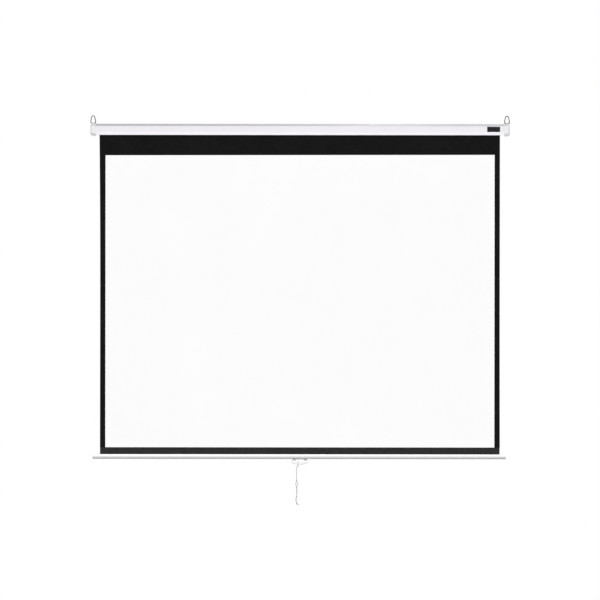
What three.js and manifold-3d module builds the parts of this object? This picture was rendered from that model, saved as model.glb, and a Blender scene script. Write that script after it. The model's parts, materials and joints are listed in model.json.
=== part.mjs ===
// Pull-down wall projection screen with a spring roller, shown fully down.
// Millimetres. +X to the viewer's right, -Y out of the wall towards the viewer, +Z up.
// The origin is the centre of the flat back of the case, which lies on the wall.

import * as THREE from 'three';
import * as BufferGeometryUtils from 'three/addons/utils/BufferGeometryUtils.js';
import Module from 'manifold-3d';

// Driving dimensions: a viewing area of 100 inches across its corners, four wide to three high
const VIEW_WIDTH = 2032;
const VIEW_HEIGHT = 1524;
const SIDE_BORDER = 24.5;
const VIEW_TOP_Z = -132.5;
const FABRIC_THICKNESS = 0.36;
const GAP = 0.3;

// Case: a roll-formed eight-sided section, open below for the fabric
const CASE_HEIGHT = 58;
const CASE_DEPTH = 64;
const CASE_BEVEL = 11.5;
const CASE_HALF_LENGTH = 1065;
const CASE_WALL = 1.2;
const CASE_LIP = 5.5;
const SLOT_REAR_Y = -8;
const SLOT_FRONT_Y = -24.8;

// End caps, each with an ear for its hanger ring
const CAP_TOP_Z = 30;
const CAP_BOTTOM_Z = -34;
const CAP_FRONT_Y = -66.4;
const CAP_INNER_X = 1065.3;
const CAP_OUTER_X = 1091.5;
const CAP_DOME = 12;
const CAP_WALL = 2.6;
const CAP_PLUG_DEPTH = 6;
const EAR_Y = -14;
const EAR_X = 1078.5;
const EAR_HALF_WIDTH = 4.2;
const EAR_RADIUS = 4.2;
const RING_PIVOT_Z = 33.4;
const RING_WIRE = 3.5;

// Roller and the fabric's path from its rear side down through the slot
const ROLLER_Y = -36.5;
const ROLLER_RADIUS = 19;
const ROLLER_WALL = 1.2;
const ROLLER_HALF_LENGTH = 1046;
const SAFETY_TURNS = 1.25;
const WRAP_PITCH = FABRIC_THICKNESS + GAP;
const WRAP_INNER_RADIUS = ROLLER_RADIUS + GAP + FABRIC_THICKNESS / 2;
const WRAP_OUTER_RADIUS = WRAP_INNER_RADIUS + SAFETY_TURNS * WRAP_PITCH;
const FABRIC_Y = ROLLER_Y + WRAP_OUTER_RADIUS;

// Weight bar on the lower hem
const BAR_RADIUS = 15;
const BAR_WALL = 1.2;
const BAR_Y = -18;
const BAR_Z = -1702.5;
const BAR_SHIFT_X = -3.3;
const BAR_HALF_LENGTH = 1074;
const BAR_CAP = 2.5;
const BAR_SHOULDER_Z = -1692.8;
const HEM_ROD_RADIUS = 4;

// Pull handle and cord
const HANDLE_PIVOT_Z = -1722.3;
const HANDLE_THICKNESS = 9;
const CORD_DIAMETER = 3.6;
const CORD_SIDES = 8;
const CORD_TIE_X = -9.5;

// Ratchet and pawls at the spring end of the roller, seen along the roller's axis
const RATCHET_RADIUS = 10.4;
const RATCHET_NOTCHES = 4;
const NOTCH_RADIUS = 8.4;
const PAWL_PIVOT_RADIUS = 15;
const PAWL_LENGTH = 9.5;
const PAWL_TIP = 1.2;
const PAWL_RIDE_RADIUS = 12.5;
const PAWL_LOCK_RADIUS = 9.9;

const FABRIC_HALF_WIDTH = VIEW_WIDTH / 2 + SIDE_BORDER;
const VIEW_BOTTOM_Z = VIEW_TOP_Z - VIEW_HEIGHT;
const DEG = Math.PI / 180;

const wasm = await Module();
wasm.setup();

const screen = new THREE.Group();

// Finishes, as one material for each
const FINISHES = {
  caseWhite: { color: 0xeeecf1, roughness: 0.42, metalness: 0.1 },
  capWhite: { color: 0xe8e8e8, roughness: 0.5, metalness: 0 },
  barWhite: { color: 0xf2f2f4, roughness: 0.4, metalness: 0.1 },
  plateBlack: { color: 0x101012, roughness: 0.35, metalness: 0 },
  matteWhite: { color: 0xfbfbfc, roughness: 0.95, metalness: 0 },
  maskBlack: { color: 0x161616, roughness: 0.9, metalness: 0 },
  zincSteel: { color: 0xb4b6b8, roughness: 0.35, metalness: 1 },
  springSteel: { color: 0x4a4a4c, roughness: 0.4, metalness: 1 },
  darkWire: { color: 0x3c3c3e, roughness: 0.38, metalness: 1 },
  nylon: { color: 0xe6e4dc, roughness: 0.6, metalness: 0 },
  handleWhite: { color: 0xf6f6f6, roughness: 0.45, metalness: 0 },
  cordWhite: { color: 0xeeeeea, roughness: 0.9, metalness: 0 },
};

function addPiece(name, geometry, finish, parent = screen) {
  const material = new THREE.MeshStandardMaterial(FINISHES[finish]);
  const mesh = new THREE.Mesh(geometry, material);
  mesh.name = name;
  parent.add(mesh);
  return mesh;
}

// A closed geometry with only its positions, its shared vertices merged
function weld(geometry) {
  const bare = geometry.clone();
  for (const attribute of ['normal', 'uv']) {
    bare.deleteAttribute(attribute);
  }
  return BufferGeometryUtils.mergeVertices(bare, 1e-3);
}

function toSolid(geometry) {
  const bare = weld(geometry);
  return new wasm.Manifold(
    new wasm.Mesh({
      numProp: 3,
      vertProperties: new Float32Array(bare.attributes.position.array),
      triVerts: new Uint32Array(bare.index.array),
    }),
  );
}

function toGeometry(solid) {
  const mesh = solid.getMesh();
  const geometry = new THREE.BufferGeometry();
  geometry.setAttribute('position', new THREE.BufferAttribute(mesh.vertProperties, 3));
  geometry.setIndex(new THREE.BufferAttribute(mesh.triVerts, 1));
  return geometry;
}

function join(...geometries) {
  const solids = geometries.map(toSolid);
  return toGeometry(solids.reduce((all, next) => all.add(next)));
}

function cut(body, ...tools) {
  const solids = tools.map(toSolid);
  return toGeometry(solids.reduce((left, tool) => left.subtract(tool), toSolid(body)));
}

// A corner list [[y, z, radius], ...] turned into points with each corner rounded by an arc
function roundCorners(corners, closed = true, stepsPerCorner = 3) {
  const points = [];
  const count = corners.length;
  corners.forEach(([y, z, radius = 0], i) => {
    const here = new THREE.Vector2(y, z);
    const atEnd = !closed && (i === 0 || i === count - 1);
    if (radius === 0 || atEnd) {
      points.push(here);
      return;
    }
    const before = new THREE.Vector2(...corners[(i + count - 1) % count]);
    const after = new THREE.Vector2(...corners[(i + 1) % count]);
    const toBefore = before.sub(here).normalize();
    const toAfter = after.sub(here).normalize();
    const half = toBefore.angleTo(toAfter) / 2;
    const reach = radius / Math.tan(half);
    const bisector = toBefore.clone().add(toAfter).normalize();
    const centre = here.clone().addScaledVector(bisector, radius / Math.sin(half));
    const start = here.clone().addScaledVector(toBefore, reach).sub(centre);
    const end = here.clone().addScaledVector(toAfter, reach).sub(centre);
    const turn = Math.atan2(start.cross(end), start.dot(end));
    for (let k = 0; k <= stepsPerCorner; k += 1) {
      const spoke = start.clone().rotateAround(new THREE.Vector2(), (turn * k) / stepsPerCorner);
      points.push(spoke.add(centre));
    }
  });
  return points;
}

// The outline of a bent sheet, from the line along the middle of its thickness
function sheetOutline(middle, thickness) {
  const left = [];
  const right = [];
  middle.forEach((point, i) => {
    const before = middle[Math.max(i - 1, 0)];
    const after = middle[Math.min(i + 1, middle.length - 1)];
    const intoPoint = point.clone().sub(before).normalize();
    const outOfPoint = after.clone().sub(point).normalize();
    const along = intoPoint.clone().add(outOfPoint).normalize();
    const cosine = Math.max(along.dot(i === 0 ? outOfPoint : intoPoint), 0.5);
    const normal = new THREE.Vector2(-along.y, along.x);
    normal.multiplyScalar(thickness / 2 / cosine);
    left.push(point.clone().add(normal));
    right.push(point.clone().sub(normal));
  });
  return new THREE.Shape([...left, ...right.reverse()]);
}

// Turns a shape drawn as (y, z) into a solid that runs along X from one end to the other
const ALONG_X = new THREE.Matrix4().makeBasis(
  new THREE.Vector3(0, 1, 0),
  new THREE.Vector3(0, 0, 1),
  new THREE.Vector3(1, 0, 0),
);

function extrudeX(shape, fromX, toX, options = {}) {
  const geometry = new THREE.ExtrudeGeometry(shape, {
    depth: toX - fromX,
    bevelEnabled: false,
    curveSegments: 12,
    ...options,
  });
  geometry.applyMatrix4(ALONG_X);
  return geometry.translate(fromX, 0, 0);
}

function circleShape(y, z, radius, hole = 0) {
  const shape = new THREE.Shape().absarc(y, z, radius, 0, 2 * Math.PI, false);
  if (hole > 0) {
    shape.holes.push(new THREE.Path().absarc(y, z, hole, 0, 2 * Math.PI, true));
  }
  return shape;
}

// A turned piece around the X direction: profile [[radius, x], ...] from axis to axis, or closed
function turnX(profile, y, z, sides = 24) {
  const points = profile.map(([radius, x]) => new THREE.Vector2(radius, x));
  const geometry = new THREE.LatheGeometry(points, sides);
  // the lathe's own axis is Y: turn it to X
  geometry.rotateZ(-Math.PI / 2);
  return geometry.translate(0, y, z);
}

function ringProfile(inner, outer, fromX, toX) {
  return [[inner, fromX], [outer, fromX], [outer, toX], [inner, toX], [inner, fromX]];
}

function box(fromX, toX, fromY, toY, fromZ, toZ) {
  const geometry = new THREE.BoxGeometry(toX - fromX, toY - fromY, toZ - fromZ);
  return geometry.translate((fromX + toX) / 2, (fromY + toY) / 2, (fromZ + toZ) / 2);
}

// A round tube or wire along a curve through the given points
function wireAlong(points, diameter, steps, sides = 8) {
  const curve = new THREE.CatmullRomCurve3(points, false, 'centripetal');
  const section = new THREE.Shape();
  for (let k = 0; k < sides; k += 1) {
    const angle = ((k + 0.5) * 2 * Math.PI) / sides;
    const x = (diameter / 2) * Math.cos(angle);
    const y = (diameter / 2) * Math.sin(angle);
    if (k === 0) {
      section.moveTo(x, y);
    } else {
      section.lineTo(x, y);
    }
  }
  return new THREE.ExtrudeGeometry(section, { steps, extrudePath: curve, bevelEnabled: false });
}

// A skin through rings of points that all have the same count, closed at both ends
function skinRings(rings) {
  const count = rings[0].length;
  const positions = rings.flat().flatMap((p) => [p.x, p.y, p.z]);
  const triangles = [];
  for (let ring = 0; ring < rings.length - 1; ring += 1) {
    for (let k = 0; k < count; k += 1) {
      const next = (k + 1) % count;
      const a = ring * count + k;
      const b = ring * count + next;
      triangles.push(a, b, b + count, a, b + count, a + count);
    }
  }
  const flat = rings[0].map((p) => new THREE.Vector2(p.y, p.z));
  const last = (rings.length - 1) * count;
  for (const [a, b, c] of THREE.ShapeUtils.triangulateShape(flat, [])) {
    triangles.push(c, b, a);
    triangles.push(last + a, last + b, last + c);
  }
  const geometry = new THREE.BufferGeometry();
  geometry.setAttribute('position', new THREE.Float32BufferAttribute(positions, 3));
  geometry.setIndex(triangles);
  return geometry;
}

// Case shell, its line taken at the middle of the sheet
const half = CASE_HEIGHT / 2;
const skin = CASE_WALL / 2;
const bevelInset = skin * (Math.SQRT2 - 1);

function caseLine() {
  const top = half - skin;
  const front = -CASE_DEPTH + skin;
  const shoulder = -CASE_DEPTH + CASE_BEVEL + bevelInset;
  const cheek = half - CASE_BEVEL - bevelInset;
  const lipTop = -half + CASE_LIP;
  return roundCorners(
    [
      [SLOT_REAR_Y, lipTop],
      [SLOT_REAR_Y, -top, 1.2],
      [-skin, -top, 4],
      [-skin, top, 4],
      [shoulder, top, 3],
      [front, cheek, 3],
      [front, -cheek, 3],
      [shoulder, -top, 3],
      [SLOT_FRONT_Y, -top, 1.2],
      [SLOT_FRONT_Y, lipTop],
    ],
    false,
  );
}

addPiece(
  'case_shell',
  extrudeX(sheetOutline(caseLine(), CASE_WALL), -CASE_HALF_LENGTH, CASE_HALF_LENGTH),
  'caseWhite',
);

// The hollow inside the case, drawn smaller by a margin, for what fits into it
function caseInside(margin) {
  const off = CASE_WALL + margin;
  const slant = off * (Math.SQRT2 - 1);
  const top = half - off;
  const shoulder = -CASE_DEPTH + CASE_BEVEL + slant;
  const cheek = half - CASE_BEVEL - slant;
  return roundCorners([
    [-off, -top, 3],
    [-off, top, 3],
    [shoulder, top, 2.5],
    [-CASE_DEPTH + off, cheek, 2.5],
    [-CASE_DEPTH + off, -cheek, 2.5],
    [shoulder, -top, 2.5],
  ], true, 2);
}

// End caps: a domed shell outside, and a plug that fits inside the case
const CAP_SCREWS = [[-17, 17.5], [-50, -18]];
const SCREW_SHANK = 1.7;
const SCREW_HEAD = 3.8;
const SCREW_SEAT_X = 1086;
const BOSS_RADIUS = 5.6;
const SMALL_CURVES = { curveSegments: 6 };

function capOutline() {
  return roundCorners([
    [0, CAP_BOTTOM_Z + 4, 3],
    [0, CAP_TOP_Z, 5],
    [-53.5, CAP_TOP_Z, 4],
    [CAP_FRONT_Y, 17.5, 4],
    [CAP_FRONT_Y, -20.5, 5],
    [-52.5, CAP_BOTTOM_Z, 6],
    [-8, CAP_BOTTOM_Z, 6],
  ], true, 2);
}

// The outline at one distance along the cap, drawn in at the front, top and bottom by one amount
// and at the back by another, since the back stays flat on the wall where the dome closes
function capRing(x, inset, backInset = 0) {
  const middleZ = (CAP_TOP_Z + CAP_BOTTOM_Z) / 2;
  const depthShare = 1 - (inset + backInset) / -CAP_FRONT_Y;
  const heightShare = 1 - (2 * inset) / (CAP_TOP_Z - CAP_BOTTOM_Z);
  return capOutline().map((p) => {
    const y = p.x * depthShare - backInset;
    return new THREE.Vector3(x, y, middleZ + (p.y - middleZ) * heightShare);
  });
}

function capShell() {
  const domeX = CAP_OUTER_X - CAP_DOME;
  const rings = [capRing(CAP_INNER_X, 0), capRing(domeX, 0)];
  const hollow = [
    capRing(CAP_INNER_X - 1, CAP_WALL, CAP_WALL),
    capRing(domeX, CAP_WALL, CAP_WALL),
  ];
  const steps = 3;
  const steepest = 80 * DEG;
  for (let step = 1; step <= steps; step += 1) {
    const angle = (step / steps) * steepest;
    const inset = CAP_DOME * 0.85 * (1 - Math.cos(angle));
    const along = CAP_DOME * (Math.sin(angle) / Math.sin(steepest));
    rings.push(capRing(domeX + along, inset));
    hollow.push(capRing(domeX + along * 0.78, inset + CAP_WALL, CAP_WALL));
  }
  return cut(skinRings(rings), skinRings(hollow));
}

function capPlug() {
  const wall = 2.2;
  const flangeEnd = CAP_INNER_X + 1.5;
  const outer = new THREE.Shape(caseInside(GAP));
  outer.holes.push(new THREE.Path(caseInside(GAP + wall).reverse()));
  const ring = extrudeX(outer, CAP_INNER_X - CAP_PLUG_DEPTH, flangeEnd);
  const flange = extrudeX(new THREE.Shape(capOutline()), CAP_INNER_X, flangeEnd);
  const mouth = extrudeX(new THREE.Shape(caseInside(GAP + wall)), CAP_INNER_X - 1, flangeEnd + 1);
  const slotRoom = box(
    CAP_INNER_X - CAP_PLUG_DEPTH - 1,
    CAP_INNER_X - GAP,
    SLOT_FRONT_Y - 1.2,
    SLOT_REAR_Y + 1.2,
    -half,
    -half + CASE_LIP + 1,
  );
  return cut(join(ring, flange), mouth, slotRoom);
}

function earGeometry() {
  const ear = new THREE.Shape();
  ear.moveTo(EAR_Y + EAR_RADIUS, CAP_TOP_Z - 1.5);
  ear.lineTo(EAR_Y + EAR_RADIUS, RING_PIVOT_Z);
  ear.absarc(EAR_Y, RING_PIVOT_Z, EAR_RADIUS, 0, Math.PI, false);
  ear.lineTo(EAR_Y - EAR_RADIUS, CAP_TOP_Z - 1.5);
  return extrudeX(ear, EAR_X - EAR_HALF_WIDTH, EAR_X + EAR_HALF_WIDTH, SMALL_CURVES);
}

function capGeometry() {
  const along = ([y, z], radius, fromX, toX) =>
    extrudeX(circleShape(y, z, radius), fromX, toX, SMALL_CURVES);
  const bosses = CAP_SCREWS.map((at) => along(at, BOSS_RADIUS, CAP_INNER_X + 0.5, CAP_OUTER_X - 1.5));
  const bores = CAP_SCREWS.map((at) => along(at, SCREW_SHANK + GAP, CAP_INNER_X - 2, CAP_OUTER_X));
  const seats = CAP_SCREWS.map((at) => along(at, SCREW_HEAD + GAP, SCREW_SEAT_X, CAP_OUTER_X + 2));
  const ringBore = along(
    [EAR_Y, RING_PIVOT_Z],
    RING_WIRE / 2 + 0.45,
    EAR_X - EAR_HALF_WIDTH - 1,
    EAR_X + EAR_HALF_WIDTH + 1,
  );
  return cut(join(capShell(), capPlug(), earGeometry(), ...bosses), ...bores, ...seats, ringBore);
}

// Geometry for the other end of the screen: mirrored in X, with its faces turned right side out
function mirrored(geometry) {
  const other = geometry.clone().scale(-1, 1, 1);
  const index = other.index.array;
  for (let k = 0; k < index.length; k += 3) {
    [index[k], index[k + 2]] = [index[k + 2], index[k]];
  }
  return other;
}

function addPair(name, geometry, finish) {
  const indexed = weld(geometry);
  addPiece(`${name}_right`, indexed, finish);
  addPiece(`${name}_left`, mirrored(indexed), finish);
}

addPair('end_cap', capGeometry(), 'capWhite');

const BRACKET_INNER_X = 1056;
const BRACKET_OUTER_X = 1057.5;

CAP_SCREWS.forEach(([y, z], i) => {
  const tip = BRACKET_INNER_X - 3.5;
  const screw = turnX(
    [
      [0, tip],
      [SCREW_SHANK * 0.6, tip],
      [SCREW_SHANK, tip + 2],
      [SCREW_SHANK, SCREW_SEAT_X + 0.2],
      [SCREW_HEAD, SCREW_SEAT_X + 0.2],
      [SCREW_HEAD, SCREW_SEAT_X + 1.4],
      [SCREW_HEAD * 0.55, SCREW_SEAT_X + 2.5],
      [0, SCREW_SEAT_X + 2.7],
    ],
    y,
    z,
    12,
  );
  addPair(`cap_screw_${i + 1}`, screw, 'zincSteel');
});

// Roller brackets: plates that fill the section, with a foot bent back along the wall side
function bracketBlank() {
  const plate = extrudeX(new THREE.Shape(caseInside(GAP + 0.4)), BRACKET_INNER_X, BRACKET_OUTER_X);
  const foot = box(BRACKET_INNER_X - 15, BRACKET_INNER_X + 1, -3.4, -1.9, -16, 16);
  const slotRoom = box(
    BRACKET_INNER_X - 1,
    BRACKET_OUTER_X + 1,
    SLOT_FRONT_Y - 1.4,
    SLOT_REAR_Y + 1.4,
    -half,
    -half + CASE_LIP + 1,
  );
  const holes = CAP_SCREWS.map(([y, z]) => {
    const hole = circleShape(y, z, SCREW_SHANK + GAP);
    return extrudeX(hole, BRACKET_INNER_X - 1, BRACKET_OUTER_X + 1, SMALL_CURVES);
  });
  return cut(join(plate, foot), slotRoom, ...holes);
}

// The spring end has a keyed slot for the spindle's tongue, the idle end a round hole for its bush
const TONGUE_HALF = 2.4;
const SPINDLE_RADIUS = 5;
const BUSH_RADIUS = 7;
const throughPlate = [BRACKET_INNER_X - 1, BRACKET_OUTER_X + 1];

addPiece(
  'roller_bracket_left',
  mirrored(
    cut(
      bracketBlank(),
      box(
        ...throughPlate,
        ROLLER_Y - TONGUE_HALF - GAP,
        ROLLER_Y + TONGUE_HALF + GAP,
        -SPINDLE_RADIUS - GAP,
        SPINDLE_RADIUS + GAP,
      ),
    ),
  ),
  'zincSteel',
);
addPiece(
  'roller_bracket_right',
  cut(bracketBlank(), extrudeX(circleShape(ROLLER_Y, 0, BUSH_RADIUS + GAP), ...throughPlate)),
  'zincSteel',
);

// Bare name plate on the front face of the case
const PLATE_X = 1007.8;
const PLATE_Z = 0;
const PLATE_WIDTH = 67;
const PLATE_HEIGHT = 26.6;
const PLATE_THICKNESS = 1;

function namePlate() {
  const w = PLATE_WIDTH / 2;
  const h = PLATE_HEIGHT / 2;
  const outline = roundCorners([[-w, -h, 1.4], [w, -h, 1.4], [w, h, 1.4], [-w, h, 1.4]]);
  const plate = new THREE.ExtrudeGeometry(new THREE.Shape(outline), {
    depth: PLATE_THICKNESS - 0.3,
    bevelThickness: 0.3,
    bevelSize: 0.3,
    bevelOffset: -0.3,
    bevelSegments: 1,
  });
  plate.rotateX(Math.PI / 2);
  return plate.translate(PLATE_X, -CASE_DEPTH - GAP - 0.3, PLATE_Z);
}

addPiece('name_plate', namePlate(), 'plateBlack');

// Roller tube
addPiece(
  'roller_tube',
  turnX(
    ringProfile(
      ROLLER_RADIUS - ROLLER_WALL,
      ROLLER_RADIUS,
      -ROLLER_HALF_LENGTH,
      ROLLER_HALF_LENGTH,
    ),
    ROLLER_Y,
    0,
    32,
  ),
  'zincSteel',
);

// The turns that stay on the roller when the screen is fully down, ending at its rear side
function safetyWrap() {
  const steps = 36;
  const middle = [];
  for (let k = 0; k <= steps; k += 1) {
    const share = k / steps;
    const angle = share * SAFETY_TURNS * 2 * Math.PI;
    const radius = WRAP_OUTER_RADIUS - share * SAFETY_TURNS * WRAP_PITCH;
    middle.push(new THREE.Vector2(ROLLER_Y + radius * Math.cos(angle), radius * Math.sin(angle)));
  }
  const outline = sheetOutline(middle, FABRIC_THICKNESS);
  return extrudeX(outline, -FABRIC_HALF_WIDTH, FABRIC_HALF_WIDTH);
}

addPiece('wound_fabric', safetyWrap(), 'maskBlack');

// Spring end: a spindle that the bracket holds still, with the ratchet and the spring on it
const SPINDLE_END_X = -560;
const SPINDLE_SHOULDER_X = -1055;
const TONGUE_END_X = -1061;
const PLUG_FLANGE = 2;
const PLUG_X = -ROLLER_HALF_LENGTH - GAP;
const RATCHET_X = [-1052.6, -1049.6];

function spindle() {
  const rod = turnX(
    [
      [0, SPINDLE_SHOULDER_X],
      [SPINDLE_RADIUS, SPINDLE_SHOULDER_X],
      [SPINDLE_RADIUS, SPINDLE_END_X - 2],
      [SPINDLE_RADIUS - 1.5, SPINDLE_END_X],
      [0, SPINDLE_END_X],
    ],
    ROLLER_Y,
    0,
    20,
  );
  const tongue = box(
    TONGUE_END_X,
    SPINDLE_SHOULDER_X + 1,
    ROLLER_Y - TONGUE_HALF,
    ROLLER_Y + TONGUE_HALF,
    -SPINDLE_RADIUS + 0.5,
    SPINDLE_RADIUS - 0.5,
  );
  const keyFlat = box(
    RATCHET_X[0] - 3,
    RATCHET_X[1],
    ROLLER_Y - 6,
    ROLLER_Y + 6,
    SPINDLE_RADIUS - 1,
    SPINDLE_RADIUS + 1,
  );
  return cut(join(rod, tongue), keyFlat);
}

addPiece('spindle', spindle(), 'zincSteel');

// A point at a radius and angle from the roller's axis, with angle zero towards the wall
function polar(radius, angle) {
  return [ROLLER_Y + radius * Math.cos(angle), radius * Math.sin(angle)];
}

// Where the middle of a pawl's tip stands as seen from its pin, for a given distance to the axis
function angleAtAxis(tipRadius) {
  const a = PAWL_PIVOT_RADIUS;
  const cosine = (a * a + tipRadius * tipRadius - PAWL_LENGTH * PAWL_LENGTH) / (2 * a * tipRadius);
  return Math.acos(cosine);
}

const PAWL_PIN_ANGLES = [90 * DEG, 270 * DEG];

function ratchetWheel() {
  const wheel = new THREE.Shape();
  const pitch = (2 * Math.PI) / RATCHET_NOTCHES;
  const lockAngle = PAWL_PIN_ANGLES[0] - angleAtAxis(PAWL_LOCK_RADIUS);
  for (let k = 0; k < RATCHET_NOTCHES; k += 1) {
    const at = lockAngle + k * pitch;
    const corners = [
      [RATCHET_RADIUS, at - 9 * DEG],
      [NOTCH_RADIUS, at - 9 * DEG],
      [NOTCH_RADIUS, at + 8 * DEG],
      [RATCHET_RADIUS, at + 40 * DEG],
      [RATCHET_RADIUS, at + 52 * DEG],
      [RATCHET_RADIUS, at + 66 * DEG],
    ];
    corners.forEach(([radius, angle], i) => {
      const point = polar(radius, angle);
      if (k === 0 && i === 0) {
        wheel.moveTo(...point);
      } else {
        wheel.lineTo(...point);
      }
    });
  }
  const bore = SPINDLE_RADIUS + GAP;
  const flat = SPINDLE_RADIUS - 1 + GAP;
  const rise = Math.asin(flat / bore);
  const hole = new THREE.Path();
  hole.absarc(ROLLER_Y, 0, bore, rise, Math.PI - rise, true);
  wheel.holes.push(hole);
  return extrudeX(wheel, ...RATCHET_X);
}

addPiece('ratchet_wheel', ratchetWheel(), 'zincSteel');

// Pawls hang on pins in the roller's end plug, just clear of the wheel's rim
const PAWL_PIN_RADIUS = 1.6;

function pawlOutline(pinAngle) {
  const tipAngle = pinAngle - angleAtAxis(PAWL_RIDE_RADIUS);
  const pin = new THREE.Vector2(...polar(PAWL_PIVOT_RADIUS, pinAngle));
  const tip = new THREE.Vector2(...polar(PAWL_RIDE_RADIUS, tipAngle));
  const heading = tip.clone().sub(pin).angle();
  const pawl = new THREE.Shape();
  const hub = 3;
  pawl.absarc(pin.x, pin.y, hub, heading + 75 * DEG, heading - 75 * DEG, false);
  pawl.absarc(tip.x, tip.y, PAWL_TIP, heading - 75 * DEG, heading + 75 * DEG, false);
  pawl.holes.push(
    new THREE.Path().absarc(pin.x, pin.y, PAWL_PIN_RADIUS + GAP, 0, 2 * Math.PI, true),
  );
  return pawl;
}

PAWL_PIN_ANGLES.forEach((pinAngle, i) => {
  const pawl = extrudeX(pawlOutline(pinAngle), ...RATCHET_X, SMALL_CURVES);
  addPiece(`pawl_${i + 1}`, pawl, 'zincSteel');
  const [y, z] = polar(PAWL_PIVOT_RADIUS, pinAngle);
  const pin = turnX(
    [
      [0, RATCHET_X[0] - 1.2],
      [PAWL_PIN_RADIUS + 0.9, RATCHET_X[0] - 1],
      [PAWL_PIN_RADIUS + 0.9, RATCHET_X[0] - GAP],
      [PAWL_PIN_RADIUS, RATCHET_X[0] - GAP],
      [PAWL_PIN_RADIUS, PLUG_X + 4],
      [0, PLUG_X + 4],
    ],
    y,
    z,
    12,
  );
  addPiece(`pawl_pin_${i + 1}`, pin, 'zincSteel');
});

// End plugs pressed into the tube
function endPlug(boreRadius, bodyLength) {
  const body = ROLLER_RADIUS - ROLLER_WALL - GAP;
  return turnX(
    [
      [boreRadius, PLUG_X - PLUG_FLANGE],
      [ROLLER_RADIUS - 0.3, PLUG_X - PLUG_FLANGE],
      [ROLLER_RADIUS - 0.3, PLUG_X],
      [body, PLUG_X],
      [body, PLUG_X + bodyLength - 2],
      [body - 1, PLUG_X + bodyLength],
      [boreRadius, PLUG_X + bodyLength],
      [boreRadius, PLUG_X - PLUG_FLANGE],
    ],
    ROLLER_Y,
    0,
    24,
  );
}

const pinHoles = PAWL_PIN_ANGLES.map((angle) =>
  extrudeX(
    circleShape(...polar(PAWL_PIVOT_RADIUS, angle), PAWL_PIN_RADIUS + GAP),
    PLUG_X - PLUG_FLANGE - 1,
    PLUG_X + 4 + GAP,
    SMALL_CURVES,
  ),
);
addPiece('drive_plug', cut(endPlug(SPINDLE_RADIUS + GAP, 30), ...pinHoles), 'nylon');

// Torsion spring, held by the drive plug at one end and by a collet on the spindle at the other
const SPRING_START_X = PLUG_X + 30 + GAP;
const SPRING_END_X = -580;
const SPRING_RADIUS = 9;
const SPRING_WIRE = 2;
const SPRING_TURNS = 20;
const STEPS_PER_TURN = 8;

function torsionSpring() {
  const leg = SPRING_WIRE;
  const points = [new THREE.Vector3(SPRING_START_X, ROLLER_Y + SPRING_RADIUS, 0)];
  const count = SPRING_TURNS * STEPS_PER_TURN;
  const span = SPRING_END_X - SPRING_START_X - 4 * leg;
  for (let k = 0; k <= count; k += 1) {
    const angle = (k / STEPS_PER_TURN) * 2 * Math.PI;
    points.push(
      new THREE.Vector3(
        SPRING_START_X + 2 * leg + (span * k) / count,
        ROLLER_Y + SPRING_RADIUS * Math.cos(angle),
        SPRING_RADIUS * Math.sin(angle),
      ),
    );
  }
  points.push(new THREE.Vector3(SPRING_END_X, ROLLER_Y + SPRING_RADIUS, 0));
  return wireAlong(points, SPRING_WIRE, count + 4, 5);
}

addPiece('torsion_spring', torsionSpring(), 'springSteel');
addPiece(
  'spring_collet',
  turnX(
    ringProfile(SPINDLE_RADIUS + GAP, 12, SPRING_END_X + GAP, SPRING_END_X + 14),
    ROLLER_Y,
    0,
    20,
  ),
  'zincSteel',
);
addPiece(
  'spindle_bush',
  turnX(
    [
      [0, SPINDLE_END_X + GAP],
      [SPINDLE_RADIUS + GAP, SPINDLE_END_X + GAP],
      [SPINDLE_RADIUS + GAP, SPINDLE_END_X - 5],
      [ROLLER_RADIUS - ROLLER_WALL - GAP, SPINDLE_END_X - 5],
      [ROLLER_RADIUS - ROLLER_WALL - GAP, SPINDLE_END_X + 6],
      [0, SPINDLE_END_X + 6],
    ],
    ROLLER_Y,
    0,
    24,
  ),
  'nylon',
);

// Idle end: a pin in the plug turns in a nylon bush in the bracket
const GUDGEON_RADIUS = 4;
const GUDGEON_END_X = 1060;
addPiece('idle_plug', mirrored(weld(endPlug(GUDGEON_RADIUS + GAP, 24))), 'nylon');
addPiece(
  'gudgeon_pin',
  turnX(
    [
      [0, 1020],
      [GUDGEON_RADIUS, 1020],
      [GUDGEON_RADIUS, GUDGEON_END_X - 1],
      [GUDGEON_RADIUS - 1, GUDGEON_END_X],
      [0, GUDGEON_END_X],
    ],
    ROLLER_Y,
    0,
    20,
  ),
  'zincSteel',
);
addPiece(
  'idle_bush',
  turnX(
    [
      [GUDGEON_RADIUS + GAP, BRACKET_INNER_X - 2.4],
      [BUSH_RADIUS + 2.6, BRACKET_INNER_X - 2.4],
      [BUSH_RADIUS + 2.6, BRACKET_INNER_X - GAP],
      [BUSH_RADIUS, BRACKET_INNER_X - GAP],
      [BUSH_RADIUS, BRACKET_OUTER_X + 1.6],
      [GUDGEON_RADIUS + GAP, BRACKET_OUTER_X + 1.6],
      [GUDGEON_RADIUS + GAP, BRACKET_INNER_X - 2.4],
    ],
    ROLLER_Y,
    0,
    20,
  ),
  'nylon',
);

// Fabric: a black-backed sheet that is black all over, with the matt white picture area on its front
const WHITE_COAT = 0.3;
const SPLIT_Z = VIEW_BOTTOM_Z - GAP;
const fabricBack = FABRIC_Y + FABRIC_THICKNESS / 2;
const fabricFront = FABRIC_Y - FABRIC_THICKNESS / 2;
addPiece(
  'masked_fabric',
  box(-FABRIC_HALF_WIDTH, FABRIC_HALF_WIDTH, fabricFront, fabricBack, SPLIT_Z + GAP, -GAP),
  'maskBlack',
);
addPiece(
  'picture_area',
  box(
    -VIEW_WIDTH / 2,
    VIEW_WIDTH / 2,
    fabricFront - GAP - WHITE_COAT,
    fabricFront - GAP,
    VIEW_BOTTOM_Z,
    VIEW_TOP_Z,
  ),
  'matteWhite',
);

// Lower border: the last strip of the sheet, with its hem closed round a rod inside the bar
const HEM_Z = -1703;

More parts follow.
